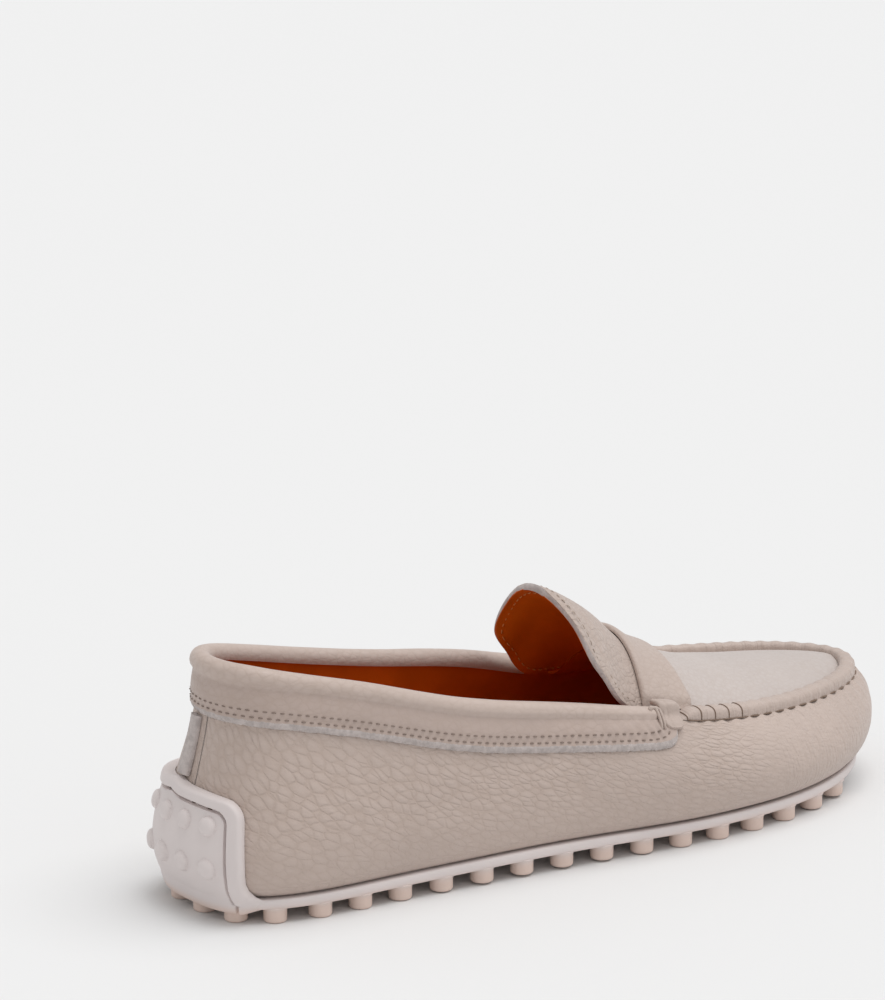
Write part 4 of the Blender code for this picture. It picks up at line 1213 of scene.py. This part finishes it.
def stud_places():
    """Centres of the studs: one row round the edge, but not at the toe, and rows across the middle."""
    ring = np.arange(360) * ROUND / 360
    round_edge = STUD_START + ROUND * np.arange(EDGE_STUDS) / EDGE_STUDS
    round_edge = round_edge[np.abs(round_edge - TIP) > TOE_PLAIN]
    spots = list(sheet_edge(round_edge, SHEET_LIP - STUD_INSET))
    limit = sheet_edge(ring, SHEET_LIP - STUD_ROW_INSET)
    rows = round(LENGTH / STUD_ROW_STEP)
    widest = round(BALL_WIDTH / STUD_ROW_STEP)
    for row in range(rows):
        for k in range(-widest, widest + 1):
            spot = np.array(((k + 0.5 * (row % 2)) * STUD_ROW_STEP, (row + 0.5) * LENGTH / rows, 0.0))
            if inside(spot, limit):
                spots.append(spot)
    return spots


def add_stud(shell, spot):
    """A round stud with a soft foot edge and a small fillet where it meets the sheet."""
    foot = sheet_bottom(spot[1]) - STUD_HEIGHT
    profile = [(STUD_RADIUS * 0.6, 0.0)]
    for turn in np.linspace(-math.pi / 2, 0.0, 6):
        profile.append((STUD_RADIUS - STUD_ROUND + STUD_ROUND * math.cos(turn),
                        STUD_ROUND + STUD_ROUND * math.sin(turn)))
    top = STUD_HEIGHT
    profile += [(STUD_RADIUS, top - 0.9 * MM), (STUD_RADIUS + 0.12 * MM, top - 0.45 * MM),
                (STUD_RADIUS + 0.42 * MM, top - 0.1 * MM), (STUD_RADIUS + 0.5 * MM, top + 0.3 * MM),
                (0.5 * STUD_RADIUS, top + STUD_SINK)]
    turns = np.linspace(0, 2 * np.pi, 28, endpoint=False)
    rings = [level(spot[0] + radius * np.cos(turns), spot[1] + radius * np.sin(turns), foot + height)
             for radius, height in profile]
    grid = shell.sheet(np.array(rings), close_columns=True)
    shell.fan(grid[0])
    shell.fan(grid[-1])


def tab_top(arc):
    part = np.minimum(np.abs(arc) / TAB_HALF_ARC, 1.0)
    peak = (TAB_PEAK - TAB_TOP) * np.maximum(0.0, 1 - part / TAB_PEAK_REACH) ** 1.5
    return TAB_TOP + peak - (TAB_TOP - TAB_CORNER) * part ** 3


def tab_half(height, flare):
    """Half the tab's width round the heel; it flares in a quarter circle down to the sheet's top."""
    start = STUD_HEIGHT + SHEET + TAB_FLARE
    drop = np.clip((start - height) / TAB_FLARE, 0.0, 1.0)
    return TAB_HALF_ARC + flare * (1 - np.sqrt(1 - drop ** 2))


def tab_surface(arc, height, lift):
    """Points over the wall at a height; below the leather they turn in towards the sheet's foot."""
    place = HEEL_TURN + arc
    turn = foot_level(LAST(place)[..., 1]) + 2.0 * MM
    level_height = np.maximum(height, turn)
    share = share_at_height(place, level_height)
    points = wall(place, share, lift)
    drop = np.clip((turn - height) / (turn - STUD_HEIGHT), 0.0, 1.0)
    inward = 1.2 * MM * (1 - np.sqrt(np.maximum(1 - drop ** 2, 0.0))) + 1.0 * MM * drop
    shifted = points - outward(place) * inward[..., None]
    shifted[..., 2] -= np.maximum(turn - height, 0.0)
    return shifted


def tab_profile(edge, inner):
    """Lift of the tab's outer face at its distances in from the outline: rim, groove and plate."""
    rim = TAB_RIM_THICK * np.sqrt(np.clip(1 - (1 - np.clip(edge / (1.7 * MM), 0, 1)) ** 2, 0.0, 1.0))
    rim = rim + 0.25 * MM * np.sin(np.pi * np.clip(edge / (4.2 * MM), 0, 1))
    fall = smooth_step((inner - 4.1 * MM) / (0.4 * MM))
    rise = smooth_step((inner - 4.9 * MM) / (0.4 * MM))
    plate = TAB_PLATE_THICK + 0.35 * MM
    return rim * (1 - fall) + TAB_GROOVE * fall * (1 - rise) + plate * rise


def tab_distance(arc, height):
    """Distance in from the tab's outline, with its rounded top corners and its flare."""
    start = STUD_HEIGHT + SHEET + TAB_FLARE
    side = TAB_HALF_ARC - np.abs(arc)
    top = tab_top(np.clip(arc, -TAB_HALF_ARC, TAB_HALF_ARC)) - height
    near = (side < TAB_FLAT_ROUND) & (top < TAB_FLAT_ROUND)
    rounded = TAB_FLAT_ROUND - np.hypot(TAB_FLAT_ROUND - side, TAB_FLAT_ROUND - top)
    edge = np.where(near, rounded, np.minimum(side, top))
    drop = np.clip((start - height) / TAB_FLARE, 0.0, None)
    low = np.hypot(side + TAB_FLARE, drop * TAB_FLARE) - TAB_FLARE
    return np.maximum(np.where(height < start, low, edge), 0.0)


def tab_inner(arc, height):
    """Distance in from the line that the groove follows; its corners are rounder and its flare less."""
    side = tab_half(height, 0.3 * TAB_FLARE) - np.abs(arc)
    top = tab_top(np.clip(arc, -TAB_HALF_ARC, TAB_HALF_ARC)) - height
    near = (side < TAB_INNER_ROUND) & (top < TAB_INNER_ROUND)
    rounded = TAB_INNER_ROUND - np.hypot(TAB_INNER_ROUND - side, TAB_INNER_ROUND - top)
    return np.where(near, rounded, np.minimum(side, top))


def make_tab_shell(shell):
    coarse = 26
    rows = 13
    base = STUD_HEIGHT + 0.2 * MM

    def surface(columns, levels, lift):
        u = np.linspace(-1, 1, columns)
        u = np.sign(u) * np.abs(u) ** 0.85
        u_grid, v_grid = np.meshgrid(u, np.linspace(0, 1, levels))
        from_side = TAB_HALF_ARC * (1 - np.abs(u_grid))
        corner = np.clip(1 - from_side / TAB_FLAT_ROUND, 0, 1)
        fall = TAB_FLAT_ROUND * (1 - np.sqrt(np.maximum(1 - corner ** 2, 0.0)))
        height = base + (tab_top(u_grid * TAB_HALF_ARC) - fall - base) * v_grid
        arc = u_grid * tab_half(height, TAB_FLARE)
        return tab_surface(arc, height, TAB_GAP * 0.6 if lift is None else TAB_GAP + lift(arc, height))

    def relief(arc, height):
        lift = tab_profile(tab_distance(arc, height), tab_inner(arc, height))
        centre = (DOMES_PER_ROW - 1) / 2
        for dome_height in DOME_HEIGHTS:
            for i in range(DOMES_PER_ROW):
                reach = np.hypot(arc - (i - centre) * DOME_SPACING, height - dome_height) / DOME_RADIUS
                lift = lift + DOME_RISE * np.clip(1 - reach ** 2.4, 0, 1) ** 0.5
        past = smooth_step((np.abs(arc) - TAB_HALF_ARC + 5 * MM) / (TAB_FLARE + 5 * MM))
        return lift * (1 - past * smooth_step((STUD_HEIGHT + SHEET + TAB_FLARE - height) / TAB_FLARE))

    top_grid = shell.sheet(surface(10 * coarse + 1, 10 * rows + 1, relief))
    low_grid = shell.sheet(surface(coarse + 1, rows + 1, None))
    shell.join(border(top_grid), border(low_grid))


def groove_path(inset, side_low):
    """A line on the tab a distance in from its outline, from one foot over the top to the other."""
    half = TAB_HALF_ARC - inset
    turn = np.linspace(0, math.pi / 2, 14)[1:]
    radius = TAB_INNER_ROUND - inset
    arcs = np.full(60, half)
    corner_arc = half - radius + radius * np.cos(turn)
    corner_high = tab_top(np.full(13, half)) - inset - radius + radius * np.sin(turn)
    heights = np.linspace(side_low, corner_high[0], 60)
    top_arc = np.linspace(corner_arc[-1], -corner_arc[-1], 90)[1:-1]
    arc = np.concatenate([arcs, corner_arc, top_arc, -corner_arc[::-1], -arcs])
    over = tab_top(top_arc) - inset
    high = np.concatenate([heights, corner_high, over, corner_high[::-1], heights[::-1]])
    return arc, high


def make_sole(context):
    """Sheet, studs and heel tab as one moulded piece, with brown stitches in the tab's groove."""
    finish = finishes(context)
    shell = Shell()
    sole_sheet(shell)
    for spot in stud_places():
        add_stud(shell, spot)
    make_tab_shell(shell)
    make_piece("rubber_sole", shell, [finish["rubber_pale"]], ["outsole"], 40)
    threads = Shell()
    arc, high = groove_path(GROOVE_INSET, GROOVE_FOOT)
    path = tab_surface(arc, high, TAB_GAP + TAB_GROOVE + 0.05 * MM)
    place = HEEL_TURN + arc
    normals = wall_normal(place, share_at_height(place, high))
    stitch_row(threads, path, normals, 8.0 * MM, 2.2 * MM, 0.30 * MM, 0, 2 * MM)
    make_piece("tab_threads", threads, [finish["thread_brown"]], ["outsole"])


# Collar band

def band_depth(place):
    from_heel = np.minimum(place % ROUND, ROUND - place % ROUND)
    reach = np.where(place % ROUND < ROUND / 2, OUTER_STRAP, ROUND - INNER_STRAP)
    return BAND_DEPTH + (BAND_FRONT_DEPTH - BAND_DEPTH) * (from_heel / reach) ** 2


def from_strap(place):
    """Distance back from the nearer strap place."""
    return np.minimum(OUTER_STRAP - place, place - (INNER_STRAP - ROUND))


def band_low(place, inset=0.0):
    """Depth of a line above the band's lower edge; it curves up at the rounded front corners."""
    turn = np.clip((BAND_CORNER + BAND_END + inset - from_strap(place)) / BAND_CORNER, 0.0, 1.0)
    end = np.minimum(BAND_LOW_END, band_depth(place) - inset)
    return end + (band_depth(place) - inset - end) * (1 - turn ** 2.8) ** (1 / 2.8)


def roll_full(place):
    return 0.10 + 0.90 * smooth_step((from_strap(place) - ROLL_END) / (ROLL_FULL - ROLL_END))


def band_lift(place, depth):
    """How far the band's face stands off the wall at a depth below the wall's top."""
    part = depth / band_depth(place)
    skin = CLEARANCE + BAND_THICK
    puff = 0.55 * MM * np.sin(np.pi * np.clip((0.80 - part) / 0.75, 0, 1)) * roll_full(place)
    ripple = 0.14 * MM * soft_waves(place, depth, 31, 0.014)
    ripple = ripple + 0.10 * MM * soft_waves(place, depth * 2, 32, 0.03)
    creases = np.zeros(np.shape(place))
    for value in named(CREASE_COLUMNS, BAND_CREASES):
        slant = value["back"] * MM - (part - 0.5) * value["lean"] * MM
        off = (from_strap(place) - slant) / (value["wide"] * MM)
        creases = creases - value["deep"] * MM * np.exp(-off ** 2) * np.sin(np.pi * np.clip(part, 0, 1))
    sewn = (band_low(place) - depth) / MM
    stitched = -0.20 * MM * np.exp(-((sewn - 3.9) / 1.6) ** 2)
    return skin * 1.03 + puff + ripple + creases + stitched


def make_band(context):
    """The leather band round the opening with its padded roll; its lower edge is cut raw."""
    sizes = context.scene.moccasin_sizes
    finish = finishes(context)
    shell = Shell()
    places = np.linspace(INNER_STRAP - ROUND + BAND_END, OUTER_STRAP - BAND_END, 1000)
    normal = wall_normal(places, 1.0)
    top = wall_base(places, 1.0)
    up = unit(top - wall_base(places, 0.96))
    skin = CLEARANCE + BAND_THICK
    full = roll_full(places)
    random = np.random.default_rng(5)
    fray = random.uniform(-1, 1, len(places))
    fray = 0.5 * fray + 0.5 * np.interp(places, places[::6], random.uniform(-1, 1, len(places[::6])))
    bottom = band_low(places)
    rows = []

    def over(out, rise):
        rows.append(lifted(lifted(top, normal, out), up, rise))

    def skirt(depth, lift):
        rows.append(wall(places, share_below_top(places, depth), lift))

    raw = bottom - BAND_RAW + fray * 0.30 * MM
    face = band_lift(places, raw)
    skirt(bottom + fray * 0.25 * MM, CLEARANCE)
    skirt(bottom - 0.30 * MM, face * 0.50 + np.roll(fray, 3) * 0.20 * MM)
    skirt(bottom - 0.90 * MM, face * 0.74 + np.roll(fray, 7) * 0.26 * MM)
    skirt(bottom - 1.50 * MM, face * 0.92 + np.roll(fray, 11) * 0.22 * MM)
    skirt(raw, face)
    high = 0.12 * band_depth(places)
    for part in np.linspace(0.04, 1.0, 18):
        depth = raw + (high - raw) * part
        skirt(depth, band_lift(places, depth))
    out_reach = skin + ROLL_OUT * full
    in_reach = WALL + ROLL_IN * full
    for turn in np.linspace(-0.30, math.pi + 0.25, 17):
        centre = (out_reach - in_reach) / 2
        half = (out_reach + in_reach) / 2
        shape_out = centre + half * math.cos(turn)
        rise = ROLL_RISE * full * (0.16 + 0.84 * math.sin(turn))
        uneven = 0.10 * MM * soft_waves(places, turn * 4 * MM, 33, 0.022)
        over(shape_out + uneven * math.cos(turn), rise + uneven)
    over(-WALL - 0.5 * ROLL_IN * full, CLEARANCE * 0.5)
    over(CLEARANCE, CLEARANCE)
    skirt(bottom * 0.5, CLEARANCE)
    share = np.linspace(0, BAND_SKIN, len(rows))[:, None]
    skin_values = np.stack(np.broadcast_arrays(places[None], share, 0.35), -1)
    grid = shell.add(np.array(rows), skin_values)
    closed = np.concatenate([grid, grid[:1]])
    shell.weave(closed[0:5], slot=1)
    shell.weave(closed[4:], slot=0)
    shell.fan(grid[:, 0], 0)
    shell.fan(grid[::-1, -1], 0)
    piece = make_piece("collar_band_leather", shell, [finish["leather_band"], finish["edge_cut"]],
                       ["collar_band"], 60)

    threads = Shell()
    for inset in BAND_SEAMS:
        depth = band_low(places, inset)
        share = share_below_top(places, depth)
        path = wall(places, share, band_lift(places, depth) + 0.05 * MM)
        stitch_row(threads, path, wall_normal(places, share), sizes.stitch_pitch, sizes.stitch_pitch * 0.58,
                   sizes.thread_radius, 0, inset * 0.3)
    make_piece("collar_threads", threads, [finish["thread_grey"]], ["collar_band"])


# Tongue, strap and strap ends

def tongue_reach(back):
    """Share of the tongue's half width that its leather takes, rounded at its free end."""
    left = np.clip((TONGUE_LENGTH - back) / (5.0 * MM), 0.0, 1.0)
    return TONGUE_REACH * (0.40 + 0.60 * np.sqrt(1 - (1 - left) ** 2))


def make_tongue(context):
    """The lined tongue with its stitched, raw edge."""
    finish = finishes(context)
    shell = Shell()
    backs = np.concatenate([np.linspace(0.6 * MM, TONGUE_LENGTH - 5 * MM, 56, endpoint=False),
                            np.linspace(TONGUE_LENGTH - 5 * MM, TONGUE_LENGTH, 14)])
    across = np.linspace(-1, 1, 81)
    back_grid, across_grid = np.meshgrid(backs, across, indexing="ij")
    spread = across_grid * tongue_reach(back_grid)
    outer = tongue(spread, back_grid)
    normal = face_normal(tongue, spread, np.minimum(back_grid, TONGUE_LENGTH - MM), 1.0 * MM)
    wave = 0.22 * MM * soft_waves(spread * 30 * MM, back_grid, 41, 0.02)
    rounding = 0.35 * MM * np.clip((np.abs(across_grid) - 0.94) / 0.06, 0, 1) ** 2
    outer = lifted(outer, normal, wave - rounding)
    inner = lifted(tongue(spread, back_grid), normal, -TONGUE_THICK + 0.4 * wave + rounding)
    skin = np.stack([back_grid, spread * 0.03, np.zeros(back_grid.shape)], -1)
    slab(shell, outer, inner, skin, (0, 2, 1), 0.10)
    materials = [finish["leather_tongue"], finish["edge_cut"], finish["lining_tan"]]
    make_piece("tongue_leather", shell, materials, ["tongue"], 60)
    threads = Shell()
    side_reach = tongue_reach(backs)
    top_across = np.linspace(side_reach[-1], -side_reach[-1], 40)[1:-1]
    line_across = np.concatenate([side_reach, top_across, -side_reach[::-1]])
    line_back = np.concatenate([backs, np.full(38, TONGUE_LENGTH), backs[::-1]])
    rim = tongue(line_across, line_back)
    line_normal = face_normal(tongue, line_across, np.minimum(line_back, TONGUE_LENGTH - MM), 1.0 * MM)
    run = np.concatenate([[0.0], np.cumsum(np.linalg.norm(np.diff(rim, axis=0), axis=-1))])
    even = np.linspace(0, run[-1], 320)
    rim = np.stack([np.interp(even, run, rim[:, k]) for k in range(3)], -1)
    line_normal = unit(np.stack([np.interp(even, run, line_normal[:, k]) for k in range(3)], -1))
    inward = np.cross(line_normal, np.gradient(rim, axis=0))
    for k in range(3):
        inward[:, k] = np.convolve(np.pad(inward[:, k], 6, "edge"), np.ones(13) / 13, "valid")
    inward = unit(inward)
    if np.sum(inward[160] * (rim[160] - rim.mean(0))) > 0:
        inward = -inward
    inset = 2.6 * MM
    sag = inset ** 2 / (40 * MM)
    for lift, slot in ((0.05 * MM, 0), (-TONGUE_THICK - 0.05 * MM, 1)):
        path = lifted(rim + inward * inset, line_normal, lift - sag)
        side = 1 if slot == 0 else -1
        stitch_row(threads, path, line_normal * side, 3.0 * MM, 1.9 * MM, 0.22 * MM, slot)
    make_piece("tongue_threads", threads, [finish["thread_pale"], finish["thread_orange"]], ["tongue"])


def make_strap(context):
    """The saddle strap with soft edges and a slight waviness."""
    finish = finishes(context)
    shell = Shell()
    across = np.linspace(-STRAP_REACH, STRAP_REACH, 120)
    shares = np.linspace(0, 1, 26)
    across_grid, share_grid = np.meshgrid(across, shares)
    widen = 1 + STRAP_WIDEN * across_grid ** 2
    forward = (-STRAP_BACK + (STRAP_BACK + STRAP_FRONT) * share_grid) * widen
    base = bridge(across_grid, forward)
    normal = face_normal(bridge, across_grid, forward, 1.0 * MM)
    edge = np.minimum(share_grid, 1 - share_grid) * (STRAP_BACK + STRAP_FRONT)
    soft = 0.8 * MM * (1 - np.sqrt(np.clip(1 - (1 - np.clip(edge / (1.6 * MM), 0, 1)) ** 2, 0, 1)))
    soft = soft * np.where(share_grid > 0.5, 0.3, 1.0)
    wave = 0.12 * MM * soft_waves(across_grid * 40 * MM, forward, 51, 0.025)
    thin = 1 - 0.55 * smooth_step((np.abs(across_grid) / STRAP_REACH - 0.90) / 0.10)
    outer = lifted(base, normal, (2 * CLEARANCE + STRAP_THICK) * thin - soft + wave)
    inner = lifted(base, normal, 1.2 * CLEARANCE)
    skin = np.stack([across_grid * 0.04, forward, np.full(forward.shape, 0.3)], -1)
    slab(shell, outer, inner, skin, (0, 0, 0), 0.12, 3)
    make_piece("strap_leather", shell, [finish["leather_strap"]], ["strap"], 60)


def make_wrap(context, name, node, place):
    """The short wrap that carries the strap over the seam and down the wall."""
    finish = finishes(context)
    shell = Shell()
    columns = np.linspace(-0.5, 0.5, 22)
    rows = 34
    here = place + columns * WRAP_WIDTH
    base = wall_base(here, 1.0)
    end = seam_inner(here)
    out = wall_normal(here, 1.0)
    crest = RIDGE_HEIGHT * 0.8
    grids = []
    drop = WRAP_DROP * (0.45 + 0.55 * np.sqrt(1 - np.abs(2 * columns) ** 2.5))
    for lift in (2 * CLEARANCE, 2 * CLEARANCE + WRAP_THICK):
        low = share_below_top(here, drop)
        middle = share_below_top(here, drop * 0.45)
        knots = [wall(here, low, lift), wall(here, middle, lift), base + out * lift * 0.9 + UP * crest * 0.25,
                 base + out * lift * 0.3 + UP * (crest + lift * 0.9), end + UP * (crest + lift)]
        line = Curve(range(5), np.array(knots).reshape(5, -1))
        points = line(np.linspace(0, 4, rows)).reshape(rows, len(columns), 3)
        grids.append(points)
    edge = np.abs(columns)[None] * 2
    soft = 0.55 * MM * np.clip((edge - 0.7) / 0.3, 0, 1) ** 2
    groove = 0.35 * MM * np.exp(-((columns[None] + 0.18) / 0.07) ** 2)
    direction = unit(grids[1] - grids[0])
    outer = grids[1] - direction * np.broadcast_to(soft + groove, grids[1].shape[:2])[..., None]
    slab(shell, outer, grids[0], np.full(outer.shape, 0.3), (0, 0, 0), 0.15, 3)
    make_piece(name, shell, [finish["leather_strap"]], [node], 60)


def make_cords(context):
    """Two thin cords and their knot that come out beside the outer wrap."""
    finish = finishes(context)
    shell = Shell()
    for back in CORD_BACKS:
        place = np.array([OUTER_STRAP - back])
        base = wall_base(place, 1.0)[0]
        out = wall_normal(place, 1.0)[0]
        knots = [wall(place, share_below_top(place, 5.0 * MM), 1.6 * MM)[0],
                 wall(place, share_below_top(place, 3.0 * MM), 2.6 * MM)[0],
                 base + out * 2.3 * MM + UP * 1.2 * MM, base + out * 0.2 * MM + UP * 3.2 * MM,
                 base - out * 3.0 * MM + UP * 2.6 * MM]
        line = Curve(range(5), np.array(knots))
        tube(shell, line(np.linspace(0, 4, 24)), CORD_RADIUS, CORD_SIDES)
    place = np.array([OUTER_STRAP - KNOT_BACK])
    along = unit(wall_base(place + MM, 1.0)[0] - wall_base(place, 1.0)[0])
    out = wall_normal(place, 1.0)[0]
    centre = wall_base(place, 1.0)[0] + out * 0.2 * MM + UP * 2.6 * MM
    for turn in (0.5, -0.6):
        angle = np.linspace(0, 2 * math.pi, 22)[:, None]
        side = along * math.cos(turn) + out * math.sin(turn)
        ring = centre + side * np.cos(angle) * 1.9 * MM + UP * np.sin(angle) * 1.0 * MM
        tube(shell, ring, KNOT_RADIUS, CORD_SIDES)
    make_piece("strap_cords", shell, [finish["leather_strap"]], ["strap_end_outer"])


def make_strip(context):
    """The strip of raw hide over the back seam, with rounded sides."""
    finish = finishes(context)
    shell = Shell()
    low = TAB_PEAK + 2 * CLEARANCE
    arcs = np.linspace(-STRIP_WIDTH / 2, STRIP_WIDTH / 2, 41)
    place = HEEL_TURN + arcs
    start = share_at_height(place, np.full(len(arcs), low))
    end = share_below_top(place, band_depth(place)) - STRIP_END_CLEAR
    shares = start[None] + (end - start)[None] * np.linspace(0, 1, 70)[:, None]
    grid_place = np.broadcast_to(place, shares.shape)
    from_side = STRIP_WIDTH / 2 - np.abs(arcs)
    bulge = 0.25 + 0.75 * np.sqrt(np.clip(1 - (1 - np.clip(from_side / STRIP_RAW, 0, 1)) ** 2, 0, 1))
    rough = 0.10 * MM * soft_waves(grid_place, shares * 0.07, 61, 0.002) * (from_side < STRIP_RAW)[None]
    outer = wall(grid_place, shares, CLEARANCE + STRIP_THICK * bulge[None] + rough)
    inner = wall(grid_place, shares, CLEARANCE * 0.6)
    grid = shell.add(outer, np.full(outer.shape, 0.3))
    shell.weave(grid)
    under = shell.sheet(inner)
    shell.weave(np.stack([border(grid), border(under)]))
    make_piece("back_strip_leather", shell, [finish["edge_cut"]], ["back_strip"], 60)


def make_insole(context):
    """The sock inside, a little dished."""
    finish = finishes(context)
    shell = Shell()
    places = places_round(100, 70)
    base = WALL + FOOT_RADIUS + INSOLE_CLEAR
    rings = []
    for inset, height in INSOLE_RINGS:
        rings.append(under_foot(places, base + inset * MM, WALL + CLEARANCE + height * MM))
    grid = shell.sheet(np.array(rings), close_columns=True)
    shell.cap(grid[0])
    shell.cap(grid[-1])
    make_piece("insole_lining", shell, [finish["lining_tan"]], ["insole"], 60)


# Stage

CAMERA_PLACE = (1.635334, -1.06904, 0.6746)
CAMERA_TURN = (90 - 15.32, 0.0, 54.25)
CAMERA_LENS = 228.0
KEY_FROM = (0.12, 0.28, 0.95)
KEY_LIGHT = 1.65
KEY_SPREAD = 50
WORLD_LIGHT = 0.60
FLOOR_REACH = 12.0


def make_stage(context):
    """Floor, lights and camera."""
    scene = context.scene
    colours = scene.moccasin_colours
    shape = bmesh.new()
    bmesh.ops.create_grid(shape, x_segments=8, y_segments=8, size=FLOOR_REACH)
    mesh = bpy.data.meshes.new("floor")
    shape.to_mesh(mesh)
    shape.free()
    floor = bpy.data.objects.new("floor", mesh)
    mesh.materials.append(floor_finish("floor_plain", colours))
    scene.collection.objects.link(floor)
    world = bpy.data.worlds.new("studio")
    world.use_nodes = True
    sky = world.node_tree.nodes["Background"]
    sky.inputs["Color"].default_value = (1.0, 1.0, 1.0, 1.0)
    sky.inputs["Strength"].default_value = WORLD_LIGHT
    scene.world = world
    lamp = bpy.data.lights.new("key", "SUN")
    lamp.energy = KEY_LIGHT
    lamp.angle = math.radians(KEY_SPREAD)
    holder = bpy.data.objects.new("key", lamp)
    holder.rotation_euler = Vector(KEY_FROM).to_track_quat("Z", "Y").to_euler()
    scene.collection.objects.link(holder)
    lens = bpy.data.cameras.new("camera")
    lens.lens = CAMERA_LENS
    lens.sensor_width = 36.0
    lens.clip_start = 0.05
    lens.clip_end = 60.0
    camera = bpy.data.objects.new("camera", lens)
    camera.location = (np.array(CAMERA_PLACE) + SHIFT).tolist()
    camera.rotation_euler = [math.radians(value) for value in CAMERA_TURN]
    scene.collection.objects.link(camera)
    scene.camera = camera
    scene.view_settings.view_transform = "Standard"


# Operators

class MOCCASIN_OT_stage(bpy.types.Operator):
    """Lay the floor and set the lights and the camera"""

    bl_idname = "moccasin.stage"
    bl_label = "Stage"

    def execute(self, context):
        make_stage(context)
        return {"FINISHED"}


class MOCCASIN_OT_upper(bpy.types.Operator):
    """Build the upper with its raised seam, apron and lining"""

    bl_idname = "moccasin.upper"
    bl_label = "Upper and seam"

    def execute(self, context):
        make_upper(context)
        make_seam_threads(context)
        return {"FINISHED"}


class MOCCASIN_OT_sole(bpy.types.Operator):
    """Build the rubber sole with its studs and heel tab"""

    bl_idname = "moccasin.sole"
    bl_label = "Rubber sole"

    def execute(self, context):
        make_sole(context)
        return {"FINISHED"}


class MOCCASIN_OT_collar(bpy.types.Operator):
    """Build the collar band with its padded roll and the back strip"""

    bl_idname = "moccasin.collar"
    bl_label = "Collar band and back strip"

    def execute(self, context):
        make_band(context)
        make_strip(context)
        return {"FINISHED"}


class MOCCASIN_OT_tongue(bpy.types.Operator):
    """Build the lined tongue"""

    bl_idname = "moccasin.tongue"
    bl_label = "Tongue"

    def execute(self, context):
        make_tongue(context)
        return {"FINISHED"}


class MOCCASIN_OT_strap(bpy.types.Operator):
    """Build the saddle strap and its two wraps"""

    bl_idname = "moccasin.strap"
    bl_label = "Strap and strap ends"

    def execute(self, context):
        make_strap(context)
        make_wrap(context, "strap_wrap_outer", "strap_end_outer", OUTER_STRAP - WRAP_SHIFT)
        make_wrap(context, "strap_wrap_inner", "strap_end_inner", INNER_STRAP + WRAP_SHIFT)
        make_cords(context)
        return {"FINISHED"}


class MOCCASIN_OT_insole(bpy.types.Operator):
    """Build the insole"""

    bl_idname = "moccasin.insole"
    bl_label = "Insole"

    def execute(self, context):
        make_insole(context)
        return {"FINISHED"}


OPERATORS = (MOCCASIN_OT_stage, MOCCASIN_OT_upper, MOCCASIN_OT_sole, MOCCASIN_OT_collar, MOCCASIN_OT_tongue,
             MOCCASIN_OT_strap, MOCCASIN_OT_insole)


class MOCCASIN_PT_sidebar(bpy.types.Panel):
    """Lists the steps that dress the moccasin"""

    bl_idname = "MOCCASIN_PT_sidebar"
    bl_label = "Driving moccasin"
    bl_space_type = "VIEW_3D"
    bl_region_type = "UI"
    bl_category = "Moccasin"

    def draw(self, context):
        for operator in OPERATORS:
            self.layout.operator(operator.bl_idname)
        for group in (context.scene.moccasin_sizes, context.scene.moccasin_colours):
            for name in group.bl_rna.properties.keys()[2:]:
                self.layout.prop(group, name)


CLASSES = (MoccasinSizes, MoccasinColours) + OPERATORS + (MOCCASIN_PT_sidebar,)


def register():
    for each in CLASSES:
        bpy.utils.register_class(each)
    bpy.types.Scene.moccasin_sizes = bpy.props.PointerProperty(type=MoccasinSizes)
    bpy.types.Scene.moccasin_colours = bpy.props.PointerProperty(type=MoccasinColours)


def unregister():
    del bpy.types.Scene.moccasin_colours
    del bpy.types.Scene.moccasin_sizes
    for each in reversed(CLASSES):
        bpy.utils.unregister_class(each)


def main():
    register()
    bpy.ops.moccasin.stage()
    bpy.ops.moccasin.upper()
    bpy.ops.moccasin.sole()
    bpy.ops.moccasin.collar()
    bpy.ops.moccasin.tongue()
    bpy.ops.moccasin.strap()
    bpy.ops.moccasin.insole()


if __name__ == "__main__":
    main()
